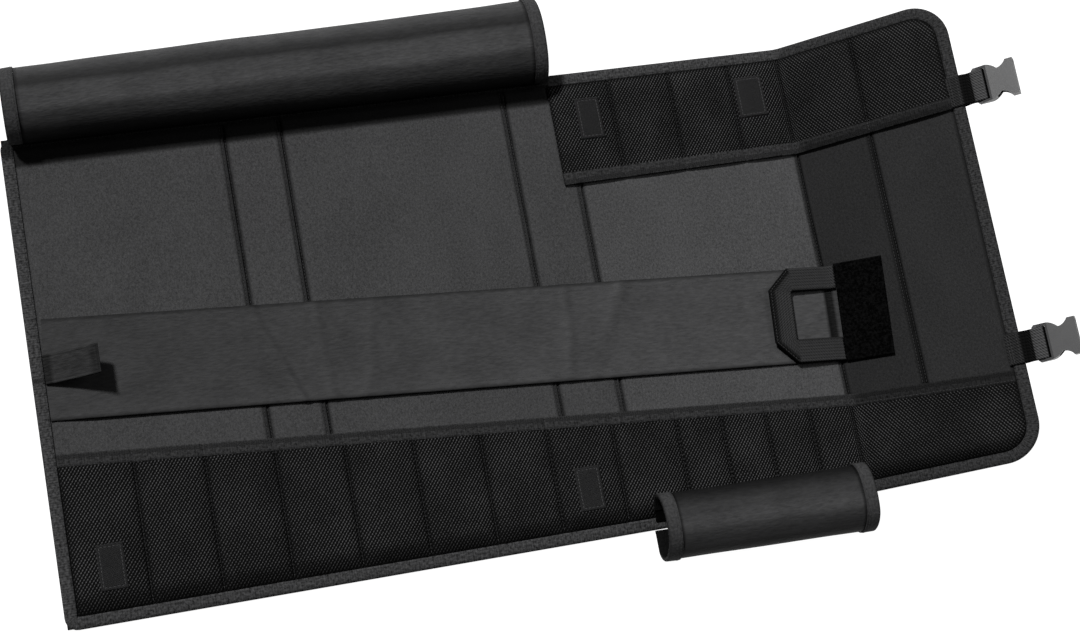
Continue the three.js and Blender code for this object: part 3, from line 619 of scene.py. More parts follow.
rings = np.stack([binding_ring(inset, above) for inset, above in BINDING_SECTION], axis=1)
case_binding = folded_tape("case_binding", rings, lengths, BINDING_SECTION, closed=True)
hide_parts("edge_binding")
wear(case_binding, ribbed_tape("ribbed_binding", 0.004, 0.040, 0.62))
stitched = np.array(inward_path(7.7))
stitched = np.append(stitched, stitched[:, :1], axis=1)
sew("binding_stitches", [run_of(lambda above: on_case(*stitched, above), 6.1)])

# Mesh pockets
# Two rows of pockets in black spacer mesh lie along the long edges, sewn into the binding and divided by
# seams. Each pocket stands a little off the lining. Their mouths are bound with a folded tape.
MESH_THICKNESS = 1.4
MOUTH_TAPE_WIDTH = 12
POCKET_RISE = 3.6
END_POCKET_RISE = 4.2
MOUTH_ROOM = 0.5
MOUTH_SLOPE = 8
LEAST_ABOVE = PANEL_THICKNESS + 0.25
WIDE_POCKET = 62.9
WIDE_POCKETS = 9
TOP_POCKET = 61.8
TOP_POCKET_START = 516
POCKET_FOLD = FLAT_LENGTH - 2
POCKET_INSET = INNER_INSET + CLEARANCE
POCKET_END = TOTAL_LENGTH - POCKET_INSET
NARROW_START = SOLID_INSET + WIDE_POCKET * WIDE_POCKETS
MOUTH_SEAM = 8.6


class PocketRow:
    """One row of pockets: where its mouth runs, and how its wall stands off the lining."""

    def __init__(self, mouth, dividers):
        self.ends = mouth
        self.side = 1 if mouth[0] > 0 else -1
        self.dividers = np.array(dividers)

    def mouth(self, s):
        return self.ends[0] + (s - POCKET_INSET) / (POCKET_END - POCKET_INSET) * (self.ends[1] - self.ends[0])

    def depth(self, s):
        radius = RIGHT_CORNER - POCKET_INSET
        past = np.maximum(0, s - (TOTAL_LENGTH - RIGHT_CORNER))
        sewn = HALF_WIDTH - RIGHT_CORNER + np.sqrt(np.maximum(radius ** 2 - past ** 2, 1))
        return sewn - np.abs(self.mouth(s))

    def middle(self, s, inward):
        bay = np.clip(np.searchsorted(self.dividers, s), 1, len(self.dividers) - 1)
        start, end = self.dividers[bay - 1], self.dividers[bay]
        share = np.clip((s - start) / (end - start) * 2 - 1, -1, 1)
        height = np.where(end > POCKET_FOLD + 1, END_POCKET_RISE, POCKET_RISE)
        slack = height * (1 - np.abs(share) ** 3.2)
        slack = slack + 0.5 * crumple(s / 16, inward / 16, 71) * (1 - share ** 2)
        fall = np.interp(
            np.maximum(inward, 0) / self.depth(s), [0, 0.15, 0.5, 0.91, 1], [0.35, 0.5, 0.9, 1, 0])
        slope = [0, MOUTH_TAPE_WIDTH + 1, MOUTH_TAPE_WIDTH + 1 + MOUTH_SLOPE]
        room = np.interp(inward, slope, [MOUTH_ROOM, MOUTH_ROOM, 0])
        seam = sum(1.3 * np.exp(-((s - divider) / 0.9) ** 2) for divider in self.dividers[1:-1])
        pressed = seam * np.clip((inward - 9) / 5, 0.3, 1)
        return PANEL_THICKNESS + CLEARANCE + MESH_THICKNESS / 2 + room + slack * fall - pressed

    def place(self, s, inward, off=0.0):
        above = np.maximum(self.middle(s, inward) + off, LEAST_ABOVE)
        return on_case(s, self.mouth(s) + self.side * inward, above)

    def wall(self, side, s, share):
        near = np.clip((1 - share) * self.depth(s) / 6, 0, 1)
        start = np.clip((s - self.dividers[0]) / 3, 0, 1)
        thin = MESH_THICKNESS / 2 * (0.45 + 0.55 * near) * (0.4 + 0.6 * start)
        sunk = 0.3 * (1 - near)
        return self.place(s, share * self.depth(s), side * thin - sunk + (0.35 if side > 0 else 0))

    def flat_places(self, flat):
        """A wall's flat places: along, across, and in from the nearest divider or sewn edge."""
        along, share = flat[:, 0], flat[:, 1] * 1000
        depth = self.depth(along * 1000) / 1000
        to_divider = np.abs(along[:, None] - self.dividers / 1000).min(axis=1)
        return np.stack([along, share * self.side * depth + self.mouth(along * 1000) / 1000,
                         np.minimum(to_divider, (1 - share) * depth)], axis=-1)

    def stations(self):
        first, last = self.dividers[0], self.dividers[-1]
        bays = spread(FOLD_START, FOLD_START + 16, 2.5)
        bays += spread(TOTAL_LENGTH - RIGHT_CORNER, POCKET_END, 2.0)
        for start, end in zip(self.dividers, self.dividers[1:]):
            bays += spread(start, end, 4.0)
            bays += [end + off for off in (-3, -2, -1.2, -0.6, 0, 0.6, 1.2, 2, 3)]
        return merged([first], [s for s in bays if first + 0.4 < s < last - 0.4], [last], least=0.35)


mesh_finish, flat = material("spacer_mesh", 0.8)
MESH_PITCH = 0.0026
MESH_TURN = math.radians(52.7)
# Two families of yarn cross in a diamond lattice. The one that leans to the right stands out, and past
# the fold the other
along_yarn = flat.axis(0) * math.sin(MESH_TURN)
across_yarn = flat.axis(1) * math.cos(MESH_TURN)
turned = flat.axis(0).over(0.755, 0.761) * 0.32
lattice = (along_yarn - across_yarn).wave(MESH_PITCH, "COSINE") * (0.66 - turned)
lattice = lattice + (along_yarn + across_yarn).wave(MESH_PITCH, "COSINE") * (0.34 + turned)
strands = (lattice + (flat.noise(800) - 0.5) * 1.3 + (flat.noise(22, 3.0) - 0.5) * 0.6).over(-0.1, 1.0)
# A dark seam line right at the dividers and the sewn edge, and painted shade over the few millimetres where
# the pocket dips to them
seam_line_and_shade = flat.axis(2).ramp((0.0003, 0.2), (0.0014, 0.85), (0.008, 1.0))
# Painted shade: darker near the bottom row's sewn edge, where the pocket falls away from the light
painted_low_pocket_shade = flat.axis(1).over(-0.196, -0.208).veil(0.5)
finish_shader(
    mesh_finish, strands.between(grey(0.0002), grey(0.044)).times(
        painted_flap_and_roll_shade(mesh_finish, 0.78), seam_line_and_shade, painted_low_pocket_shade), strands, 0.0012)
mouth_finish = ribbed_tape("mouth_tape", 0.003, 0.024, 0.45)

FOLDED_TAPE = [
    (0.0, 1.45), (-0.6, 1.35), (-1.0, 0.9), (-1.1, 0.2), (-1.0, -0.5), (-0.6, -0.9), (0.0, -1.0),
    (6.0, -1.0), (10.4, -1.0), (10.4, -0.85), (6.0, -0.85), (0.0, -0.85), (-0.3, -0.6), (-0.3, 0.9),
    (0.0, 1.1), (6.0, 1.1), (10.4, 1.1), (10.6, 1.3), (10.3, 1.5), (8.0, 1.6), (4.0, 1.6),
]
POCKET_WALLS = {"bottom": ("_left", "_middle", "_narrow", "_end"), "top": ("",)}
pocket_rows = {
    "bottom": PocketRow((-71.7, -143.5), [
        POCKET_INSET, *np.linspace(SOLID_INSET + CLEARANCE, NARROW_START, WIDE_POCKETS + 1)[1:-1],
        *np.linspace(NARROW_START, POCKET_FOLD, 5), POCKET_END]),
    "top": PocketRow((112, 117), [
        *(TOP_POCKET_START + TOP_POCKET * np.arange(4)), POCKET_FOLD, SEAMS[-1], POCKET_END]),
}
for name, row in pocket_rows.items():
    stations = row.stations()
    shares = merged(spread(0, 1, 0.045), [0.008, 0.02, 0.97, 0.985, 0.995], least=0.004)
    wall = cloth(name + "_mesh_wall", stations, shares, row.wall, angle=60)
    refit_flat(wall, row.flat_places)
    wear(wall, mesh_finish)
    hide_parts(*[name + "_mesh_pocket" + length for length in POCKET_WALLS[name]])
    rings = np.stack([row.place(stations, inward, off) for inward, off in FOLDED_TAPE], axis=1)
    tape = folded_tape(name + "_mouth_tape", rings, stations, FOLDED_TAPE)
    wear(tape, mouth_finish)
    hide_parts(name + "_pocket_tape")
    sewn = np.linspace(row.dividers[0] + 2, row.dividers[-1] - 2, 500)
    runs = []
    for divider in row.dividers[1:-1]:
        inward = np.linspace(1, row.depth(divider) - 2, 60)
        over_tape = np.where(inward < 10.5, 1.6, 1.1)
        runs.append(run_of(lambda off: row.place(divider, inward, over_tape + off), 0))
    runs.append(run_of(lambda off: row.place(sewn, MOUTH_SEAM, off), 1.6))
    stitches = sew(name + "_pocket_stitches", runs)
    depths = row.depth(np.linspace(row.dividers[0], row.dividers[-1], 60))

# Hook patches on the pockets
# Four upright pads of hook tape hold the cover flaps down when the case is closed. Each is sewn on its
# pocket with one row of stitches round its edge, and its face is a field of small stiff hooks.
HOOK_HEIGHT = 41
HOOK_PAD = 1.0
HOOK_SEAM = 2.6
HOOK_PLACES = [
    {"name": "hook_patch_1", "on": "bottom", "along": 45, "across": -177, "width": 24},
    {"name": "hook_patch_2", "on": "bottom", "along": 483.5, "across": -178.5, "width": 24},
    {"name": "hook_patch_3", "on": "top", "along": 552, "across": 177, "width": 24},
    {"name": "hook_patch_4", "on": "top", "along": 719, "across": 179, "width": 28},
]
hook_finish, flat = material("hook_tape", 0.75)
hook_dots = flat.axis(0).wave(0.0013) * flat.axis(1).wave(0.0015)
finish_shader(hook_finish, (hook_dots * 0.3 + flat.noise(800) * 0.7).between(grey(0.006), grey(0.032)),
              hook_dots, 0.0005)
pale_thread, flat = material("pale_thread", 0.6)
finish_shader(pale_thread, flat.noise(1500, 1.0).between(grey(0.03), grey(0.07)))

for patch in HOOK_PLACES:
    row = pocket_rows[patch["on"]]
    along, across = patch["along"], patch["across"]
    half_s, half_v = patch["width"] / 2, HOOK_HEIGHT / 2

    def on_pocket(s, v, off):
        return row.place(s, np.abs(v) - np.abs(row.mouth(s)), MESH_THICKNESS / 2 + 0.35 + off)

    def pad_face(side, s, v):
        edge = np.minimum(half_s - np.abs(s - along), half_v - np.abs(v - across))
        round_off = np.sqrt(np.clip(edge / 0.9, 0.02, 1))
        sewn = 0.35 * np.exp(-((edge - HOOK_SEAM) / 0.5) ** 2)
        return on_pocket(s, v, 0.15 + (HOOK_PAD * round_off - sewn if side > 0 else 0))

    def pad_stations(middle, half):
        near = both_edges(middle - half, middle + half, (0, 0.3, 0.9, 1.6, 2.1, 2.6, 3.1, 3.8))
        return merged(near, spread(middle - half + 5, middle + half - 5, 2.5))

    pad = cloth("pad_" + patch["name"], pad_stations(along, half_s),
                pad_stations(across, half_v), pad_face)
    wear(pad, hook_finish)
    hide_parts(patch["name"])
    corners = np.array([(-1, -1), (1, -1), (1, 1), (-1, 1), (-1, -1)])
    corners = corners * (half_s - HOOK_SEAM, half_v - HOOK_SEAM) + (along, across)
    runs = []
    for a, b in zip(corners, corners[1:]):
        line = np.linspace(a, b, 14).T
        runs.append(run_of(lambda off: on_pocket(*line, off), 0.15 + HOOK_PAD - 0.3))
    wear(sew("stitches_" + patch["name"], runs), pale_thread)

# Cover flaps
# Two flaps of satin nylon are sewn along the long edges and curled back outside the case, their free ends
# tucked under. Tape binds their short ends. The large one lies at the top left, the small one at the
# bottom right.
COVER_WALL = 1.6
COVER_TAPE = 1
COVER_FLOOR = COVER_WALL / 2 + CLEARANCE + COVER_TAPE
COVER_HEIGHT = 46
CURVE_STEPS = 240
COVERS = [
    {
        "name": "top_cover", "side": 1, "start": 8, "length": 506,
        "inner": (217.5, 217.5), "outer": (287, 299.5),
        "section": [
            (0.06, 0.116), (0.012, 0.24), (0, 0.43), (0.03, 0.63), (0.104, 0.79), (0.2, 0.9), (0.335, 0.97),
            (0.494, 1), (0.64, 0.984), (0.787, 0.89), (0.896, 0.74), (0.98, 0.51), (1, 0.29),
            (0.957, 0.105), (0.848, 0), (0.69, 0), (0.53, 0)],
    },
    {
        "name": "bottom_cover", "side": -1, "start": 541, "length": 205,
        "inner": (197, 200), "outer": (256, 261),
        "section": [
            (0.37, 0.12), (0.24, 0.19), (0.1, 0.3), (0.01, 0.48), (0.03, 0.7), (0.14, 0.88), (0.32, 0.98),
            (0.55, 1), (0.78, 0.91), (0.94, 0.68), (1, 0.4), (0.96, 0.14), (0.86, 0), (0.7, 0), (0.51, 0)],
    },
]


def weighed(a, b, start, end, t):
    return (end - t) / (end - start) * a + (t - start) / (end - start) * b


def centripetal(points, count):
    """Even steps along the smooth curve through a section's points, as the solid's own curve runs."""
    points = np.asarray(points, float)
    ends = np.concatenate([[2 * points[0] - points[1]], points, [2 * points[-1] - points[-2]]])
    fine = []
    for k in range(len(points) - 1):
        p = ends[k:k + 4]
        t0, t1, t2, t3 = np.cumsum([0.0, *[math.dist(p[i], p[i + 1]) ** 0.5 for i in range(3)]])
        for t in np.linspace(t1, t2, 16, endpoint=False):
            a1 = weighed(p[0], p[1], t0, t1, t)
            a2 = weighed(p[1], p[2], t1, t2, t)
            a3 = weighed(p[2], p[3], t2, t3, t)
            fine.append(weighed(weighed(a1, a2, t0, t2, t), weighed(a2, a3, t1, t3, t), t1, t2, t))
    fine = np.array(fine + [points[-1]])
    travel = travel_of(fine)
    at = np.linspace(0, travel[-1], count)
    return np.stack([np.interp(at, travel, fine[:, k]) for k in range(2)], axis=-1), travel[-1]


class Cover:
    """A curled flap: its middle surface from share along (0 to 1) and turn round its section (0 to 1)."""

    def __init__(self, facts):
        self.facts = facts
        root = BINDING_HEIGHT + CLEARANCE + COVER_WALL / 2
        top = COVER_HEIGHT - COVER_WALL / 2
        self.curves = []
        for inner, outer in zip(facts["inner"], facts["outer"]):
            points = [(facts["side"] * (inner + (outer - inner) * out),
                       root if k == 0 else COVER_FLOOR + (top - COVER_FLOOR) * high)
                      for k, (out, high) in enumerate(facts["section"])]
            curve, self.reach = centripetal(points, CURVE_STEPS + 1)
            self.curves.append(curve)

    def middle(self, share, turn):
        left, right = [
            np.stack([np.interp(turn * CURVE_STEPS, np.arange(len(curve)), curve[:, k])
                      for k in range(2)], axis=-1)
            for curve in self.curves]
        both = left + (right - left) * share[..., None]
        return both[..., 0], np.maximum(both[..., 1], COVER_FLOOR)

    def place(self, share, turn, off):
        """A point off the middle surface, towards the outside of the curl."""
        share, turn, off = np.broadcast_arrays(share, turn, off)
        step = 0.004
        y0, z0 = self.middle(share, np.clip(turn - step, 0, 1))
        y1, z1 = self.middle(share, np.clip(turn + step, 0, 1))
        y, z = self.middle(share, np.clip(turn, 0, 1))
        dy, dz = y1 - y0, z1 - z0
        reach = self.facts["side"] * (off + self.loose(share, turn)) / (np.hypot(dy, dz) + 1e-9)
        x = self.facts["start"] + share * self.facts["length"]
        return np.stack([x, y - dz * reach, np.maximum(z + dy * reach, 0.02)], axis=-1)

    def loose(self, share, turn):
        """The satin's slack: long shallow waves along the roll, and small buckles beside its bound ends."""
        length = self.facts["length"]
        s = share * length
        t = turn * self.reach
        open_part = np.clip(turn * 8, 0, 1) * np.clip((0.86 - turn) * 6, 0, 1)
        near_end = np.exp(-np.minimum(s, length - s) / 26)
        waves = 0.55 * crumple(s / 85, t / 20, 91) + 0.28 * crumple(s / 22, t / 16, 93)
        buckles = 0.5 * near_end * crumple(s / 12, t / 9, 95)
        return open_part * (waves + buckles)


def satin(name, dark, light):
    """Satin nylon: a smooth fine cloth with faint streaks along its weft and soft blotches."""
    made, flat = material(name, 0.6)
    drawn = flat.node("VectorMath", {0: flat, 1: (0.3, 1, 1)}, operation="MULTIPLY")
    grain = (drawn.noise(520, 3.0) - 0.5) * 2.2 + 0.5
    blotch = (flat.noise(24, 3.0) - 0.5) * 1.8 + 0.5
    return made, flat, (grain * 0.55 + blotch * 0.45).between(grey(dark), grey(light)), grain


# Painted light and shade: how bright each roll's satin is painted round its curl, from its sewn root to its
# free edge, for how the light falls on it
COVER_PAINTED_LIGHT = {
    "top_cover": (
        (0.1, 0.27), (0.19, 0.42), (0.24, 0.58), (0.257, 0.5), (0.289, 0.6), (0.32, 1.0), (0.346, 1.0),
        (0.379, 0.84), (0.41, 0.84), (0.437, 0.7), (0.468, 0.29), (0.508, 0.42), (0.545, 0.7), (0.6, 0.95)),
    "bottom_cover": (
        (0.22, 0.14), (0.28, 0.17), (0.308, 0.245), (0.34, 0.35), (0.37, 0.54), (0.4, 0.54), (0.423, 0.7),
        (0.45, 0.81), (0.475, 0.91), (0.5, 0.82), (0.525, 0.6), (0.577, 0.57), (0.61, 0.65), (0.645, 0.38),
        (0.675, 0.21)),
}
COVER_HEM = [
    (-1.3, 0.0), (-1.1, 1.3), (-0.4, 2.0), (0.4, 2.1), (4.5, 2.15), (9.0, 2.15), (11.8, 2.05), (12.0, 1.6),
    (12.0, 1.1), (5.0, 1.1), (0.0, 1.1), (-0.3, 0.6), (-0.3, -0.6), (0.0, -1.1), (5.0, -1.1), (12.0, -1.1),
    (12.0, -2.0), (5.0, -2.1), (0.0, -2.1), (-0.9, -1.6),
]
HEM_SEAM = 9.8
HEM_START = 2 / 26

# Painted shade: the hem's tape is painted dark inside the roll, where its section has turned round the cut
# end
hem_finish, flat = material("cover_hem", 0.75)
fleck = (flat.noise(400, 3.0) - 0.5) * 1.4 + 0.5
outside = flat.axis(1).ramp((0.0008, 0.1), (0.0022, 1.0), (0.0155, 1.0), (0.016, 0.05))
finish_shader(hem_finish, fleck.between(grey(0.008), grey(0.034)).times(outside), fleck, 0.0005)

for facts in COVERS:
    cover = Cover(facts)
    name, length, reach = facts["name"], facts["length"], cover.reach
    shares = merged(spread(0, 1, 5 / length), least=0.001)
    flap = cloth(name + "_satin", shares, np.linspace(0, 1, 91),
                 lambda side, share, turn: cover.place(share, turn, side * COVER_WALL / 2), angle=60)
    refit_flat(flap, lambda flat: flat * (length, reach, 1))
    # The covers' satin is painted about three times lighter than the band's, standing in for the light the
    # rolls catch
    made, flat, colour, grain = satin(name + "_satin", 0.060, 0.137)
    # Painted light and shade round each roll
    painted_roll_light = (flat.axis(1) * (1000 / reach) + (flat.noise(9) - 0.5) * 0.05).ramp(*COVER_PAINTED_LIGHT[name])
    to_end = (flat.axis(0) * (1000 / length) - 0.5).size()
    # Painted shadow: a dark line in the satin beside each hem
    painted_hem_gap_shade = to_end.ramp((0.5 - 15.0 / length, 1.0), (0.5 - 13.2 / length, 0.35))
    # Painted shade: the satin's inner face is painted nearly black
    painted_shade_inside_roll = flat.axis(2).ramp((0.0, 0.06), (0.0001, 1.0))
    wear(flap, finish_shader(made, colour.times(painted_roll_light, painted_hem_gap_shade, painted_shade_inside_roll), grain, 0.0002))
    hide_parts(name + "_flap")
    taped = np.linspace(HEM_START, 1, 86)
    sewn = np.linspace(2.5 / 26, 0.99, 240)
    runs = []
    for end, at, inward in (("left", 0.0, 1 / length), ("right", 1.0, -1 / length)):
        rings = np.stack([cover.place(at + inward * along, taped, off) for along, off in COVER_HEM], axis=1)
        hem = folded_tape(f"{name}_hem_{end}", rings, taped * reach, COVER_HEM)
        wear(hem, hem_finish)
        runs.append(run_of(lambda off: cover.place(at + inward * HEM_SEAM, sewn, off), 2.2))
    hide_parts(name + "_binding")
    stitches = sew(name + "_stitches", runs)

# Carrying band
# A wide strip of the same satin nylon runs the length of the case, a little askew. It lies loose on the
# lining, creased where it crosses the spines, with a narrow sewn hem along both edges.
BAND_WIDTH = 94
BAND_THICKNESS = 1.2
BAND_ANGLE = math.radians(-4.25)
BAND_LEFT_CENTRE = 6.6
BAND_ROOT = 2.6
BAND_SEAM = 7.2
LOOP_START = 757
LOOP_END = LOOP_START + 48
LOOP_WIDTH = 97
LOOP_THICKNESS = 2.4
BAND_END = LOOP_END - CLEARANCE
BAND_TOP = PANEL_THICKNESS + CLEARANCE + BAND_THICKNESS
BAND_CREASES = [
    {"at": 205, "lean": -0.45, "width": 5, "height": 1.2},
    {"at": 214, "lean": -0.45, "width": 4, "height": -0.7},
    {"at": 250, "lean": -0.1, "width": 6, "height": 1.0},
    {"at": 292, "lean": 0.15, "width": 8, "height": 0.6},
    {"at": 480, "lean": 0.05, "width": 7, "height": 1.0},
    {"at": 497, "lean": -0.3, "width": 9, "height": -0.5},
    {"at": 520, "lean": 0.4, "width": 10, "height": 1.1},
    {"at": 540, "lean": -0.15, "width": 6, "height": 0.5},
]


def on_band(along, across, above):
    s = SOLID_INSET + along * math.cos(BAND_ANGLE) - across * math.sin(BAND_ANGLE)
    v = BAND_LEFT_CENTRE + along * math.sin(BAND_ANGLE) + across * math.cos(BAND_ANGLE)
    return on_case(s, v, above)


def band_relief(along, across):
    """The band's creases and waves, flat where the loop patch and the handle are sewn on."""
    relief = 0.22 * crumple(along / 26, across / 20, 111) + 0.1 * crumple(along / 8, across / 11, 113)
    for number, crease in enumerate(BAND_CREASES):
        middle = crease["at"] + crease["lean"] * across + 3 * crumple(across / 15, number, 120 + number)
        off = (along - middle) / crease["width"]
        fade = 0.55 + 0.45 * crumple(across / 30, number, 140 + number)
        relief = relief + 1.5 * crease["height"] * fade * np.exp(-(1.35 * off) ** 2)
    slack = np.clip((along - 6) / 25, 0, 1) * np.clip((690 - along) / 40, 0, 1)
    # The lower edge doesn't quite lie down
    turned_up = 1.9 * np.clip((-across - 30) / 17, 0, 1) ** 1.5 * np.clip((735 - along) / 60, 0, 1)
    return np.maximum(relief + 0.35, 0) * slack + turned_up * np.clip(along / 40, 0, 1)


def band_height(along, across):
    edge = BAND_WIDTH / 2 - np.abs(across)
    hem = 0.05 * np.clip((8.5 - edge) / 0.8, 0, 1) - 0.05 * np.exp(-((edge - BAND_SEAM) / 0.6) ** 2)
    return BAND_TOP - 0.35 + hem + band_relief(along, across)


def band_face(side, along, across):
    round_off = rounded(BAND_WIDTH / 2 - np.abs(across), 0.5)
    above = PANEL_THICKNESS + CLEARANCE + 0.8 * band_relief(along, across)
    if side > 0:
        above = above + (band_height(along, across) - above) * (0.35 + 0.65 * round_off)
    start = np.maximum(along, across * math.tan(BAND_ANGLE) + CLEARANCE - BAND_ROOT)
    return on_band(start, across, above)


crease_stations = [crease["at"] + off for crease in BAND_CREASES for off in range(-18, 19, 2)]
band_columns = merged([-BAND_ROOT], spread(1, BAND_END, 3.5), crease_stations,
                      spread(FOLD_START - 20, FOLD_START + 8, 2), least=1.0)
band_insets = (0, 0.2, 0.5, 1.5, 4, 6, 6.6, 7.2, 7.8, 8.5, 9.3)
band_rows = merged(both_edges(-BAND_WIDTH / 2, BAND_WIDTH / 2, band_insets), spread(-37, 37, 3.2), least=0.15)
band = cloth("band_satin", band_columns, band_rows, band_face, angle=60)
made, flat, colour, grain = satin("band_satin", 0.017, 0.038)
off_middle = flat.axis(1).size()
# Painted shadow: a thin dark line along the band's edges
painted_edge_shade = off_middle.ramp((0.0456, 1.0), (0.0466, 0.3))
# The band is black beside the loop patch, in the handle's opening
beside_patch = flat.axis(0).ramp((0.7395, 1.0), (0.7420, 0.02), (0.7500, 0.02), (0.7520, 0.7))
in_opening = off_middle.over(0.0245, 0.0235).veil(beside_patch)
# Painted light: the band is painted lighter towards the right, where more light falls
painted_light_to_right = flat.axis(0).ramp((0.0, 0.66), (0.1, 0.69), (0.35, 0.84), (0.6, 1.0))
wear(band, finish_shader(made, colour.times(painted_edge_shade, in_opening, painted_light_to_right), grain, 0.0002))
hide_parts("carrying_band")
sewn = np.linspace(8, BAND_END - 2, 700)
band_stitches = sew("band_stitches", [
    run_of(lambda off: on_band(sewn, across, band_height(sewn, across) + off), -0.12)
    for across in (BAND_SEAM - BAND_WIDTH / 2, BAND_WIDTH / 2 - BAND_SEAM)])

# Loop patch
# A pad of black loop tape closes the band's end over the fold. Its pile is deep and matt, brushed in
# uneven tufts, and it is sewn down with one row of stitches near its edge.
LOOP_BASE = BAND_TOP + CLEARANCE
pile_finish, flat = material("loop_pile", 0.95, specular=0.01)
tufts = flat.noise(420, 4.0, 0.7)
finish_shader(pile_finish, tufts.over(0.35, 0.68).between(grey(0.0001), grey(0.0026)),
              tufts + flat.noise(1300) * 0.5, 0.0012)


def loop_face(side, along, across):
    edge = np.minimum(np.minimum(along - LOOP_START, LOOP_END - along), LOOP_WIDTH / 2 - np.abs(across))
    round_off = rounded(edge, 1.6)
    nap = 0.28 * crumple(along / 1.6, across / 1.6, 151) + 0.2 * crumple(along / 5, across / 5, 153)
    sewn = 0.6 * np.exp(-((edge - 3.2) / 0.7) ** 2)
    thick = (LOOP_THICKNESS - 0.5) * (0.3 + 0.7 * round_off) + (nap - sewn) * round_off
    return on_band(along, across, LOOP_BASE + (thick if side > 0 else 0))


loop_pad = cloth("loop_pad", merged(spread(LOOP_START, LOOP_END, 0.9), least=0.3),
                 merged(spread(-LOOP_WIDTH / 2, LOOP_WIDTH / 2, 0.9), least=0.3), loop_face, angle=80)
wear(loop_pad, pile_finish)
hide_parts("loop_patch")

# Carrying handle
# Webbing folded into a D lies over the band and is sewn under the loop patch. Its outer corners are
# folded over at 45 degrees, and the grip stands a little off the cloth.
HANDLE = {"reach": 75, "webbing": 23, "corner": 21, "inner_corner": 1.5, "thickness": 3.2, "lift": 3.5}
LEG_PAIRS = 26
CORNER_PAIRS = 8
HANDLE_END = LOOP_START - CLEARANCE
HANDLE_LEFT = HANDLE_END - HANDLE["reach"]
handle_half = BAND_WIDTH / 2
opening_half = handle_half - HANDLE["webbing"]
opening_left = HANDLE_LEFT + HANDLE["webbing"]


def pairs_between(first, last, shares):
    """Pairs of outer and inner edge points on the way from one pair to another."""
    return [tuple(a + (b - a) * t for a, b in zip(first, last)) for t in shares]


def mirrored(pair):
    return (pair[0], -pair[1], pair[2], -pair[3])


leg_pair = (HANDLE_LEFT + HANDLE["corner"], handle_half, opening_left + HANDLE["inner_corner"], opening_half)
corner_pair = (
    HANDLE_LEFT, handle_half - HANDLE["corner"], opening_left, opening_half - HANDLE["inner_corner"])
frame_pairs = pairs_between(
    (HANDLE_END, handle_half, HANDLE_END, opening_half), leg_pair, np.linspace(0, 1, LEG_PAIRS))
frame_pairs += pairs_between(leg_pair, corner_pair, np.linspace(0, 1, CORNER_PAIRS + 1)[1:])
frame_pairs += pairs_between(corner_pair, mirrored(corner_pair), np.linspace(0, 1, 20)[1:-1])
frame_pairs += [mirrored(pair) for pair in frame_pairs[:LEG_PAIRS + CORNER_PAIRS][::-1]]
frame_pairs = np.array(frame_pairs)
pair_travel = travel_of((frame_pairs[:, :2] + frame_pairs[:, 2:]) / 2)
pair_numbers = np.arange(len(frame_pairs), dtype=float)


def handle_face(side, index, share):
    a, w, c, d = [np.interp(index, pair_numbers, frame_pairs[:, k]) for k in range(4)]
    along = a + (c - a) * share
    across = w + (d - w) * share
    edge = np.minimum(share, 1 - share) * HANDLE["webbing"]
    round_off = rounded(edge, 1.3)
    swell = 0.3 * np.exp(-((edge - 0.9) / 0.9) ** 2)
    lift = HANDLE["lift"] * np.clip((HANDLE_END - along) / HANDLE["reach"], 0, 1) ** 0.8
    thick = HANDLE["thickness"] / 2 * (0.25 + 0.75 * round_off)
    middle = LOOP_BASE + lift + HANDLE["thickness"] / 2
    return on_band(along, across, middle + side * (thick + (swell - 0.15) * (side > 0)))


def woven_webbing(name, dark, light):
    """Heavy webbing: rows of cord along it, with a diagonal turn to each cord."""
    made, flat = material(name, 0.7)
    cord_turn = (flat.axis(0) * (1 / 0.0026) + flat.axis(1) * (1 / 0.0032)).wave(1.0)
    height = flat.axis(1).wave(0.0060).size() * 0.6 + cord_turn * 0.4
    colour = (height * 0.5 + flat.noise(600) * 0.5).between(grey(dark), grey(light))
    return made, flat, colour, height


handle_rows = merged(both_edges(0, 1, (0, 0.02, 0.05, 0.1, 0.16)), spread(0.2, 0.8, 0.075), least=0.01)
handle = cloth("handle_webbing", pair_numbers, handle_rows, handle_face, angle=45)
refit_flat(handle, lambda flat: np.stack([
    np.interp(flat[:, 0] * 1000, pair_numbers, pair_travel) / 1000,
    flat[:, 1] * HANDLE["webbing"], flat[:, 2]], axis=-1))
made, flat, colour, height = woven_webbing("handle_webbing", 0.007, 0.023)
# The handle is nearly black along its outer edge, round the grip and its two folded corners
from_middle = (flat.axis(0) - pair_travel[-1] / 2000).size()
grip_reach = (pair_travel[-1] / 2 - pair_travel[LEG_PAIRS - 1]) / 1000
rim = flat.axis(1).ramp((0.0070, 0.06), (0.0080, 1.0))
darker_grip_edge = from_middle.over(grip_reach + 0.003, grip_reach).veil(rim)
# Painted highlight along the webbing's inner edge, with a painted shadow line at the very edge
painted_inner_edge_light = flat.axis(1).ramp((0.0205, 1.0), (0.0212, 1.6), (0.0222, 1.6), (0.0225, 0.3))
wear(handle, finish_shader(made, colour.times(darker_grip_edge, painted_inner_edge_light), height, 0.0004))
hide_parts("carry_handle")
runs = []
for share in (0.1, 0.9):
    low = handle_face(1, np.linspace(1, len(frame_pairs) - 2, 400), np.full(400, share))
    runs.append((low, np.broadcast_to((0.0, 0.0, 1.0), low.shape)))
sew("handle_stitches", runs)

# Pull tab
# A short tab of folded satin is sewn to the left edge over the band and stands up by itself. A square of
# hook tape is sewn under its free end.
TAB = {"length": 49.6, "low": -7, "width": 27, "thickness": 1.8, "lift": 23, "hook": 20}
TAB_HOOK_LOW = -CLEARANCE - 1.5
TAB_START = SOLID_INSET + CLEARANCE - BAND_ROOT
TAB_HIGH = TAB["low"] + TAB["width"]


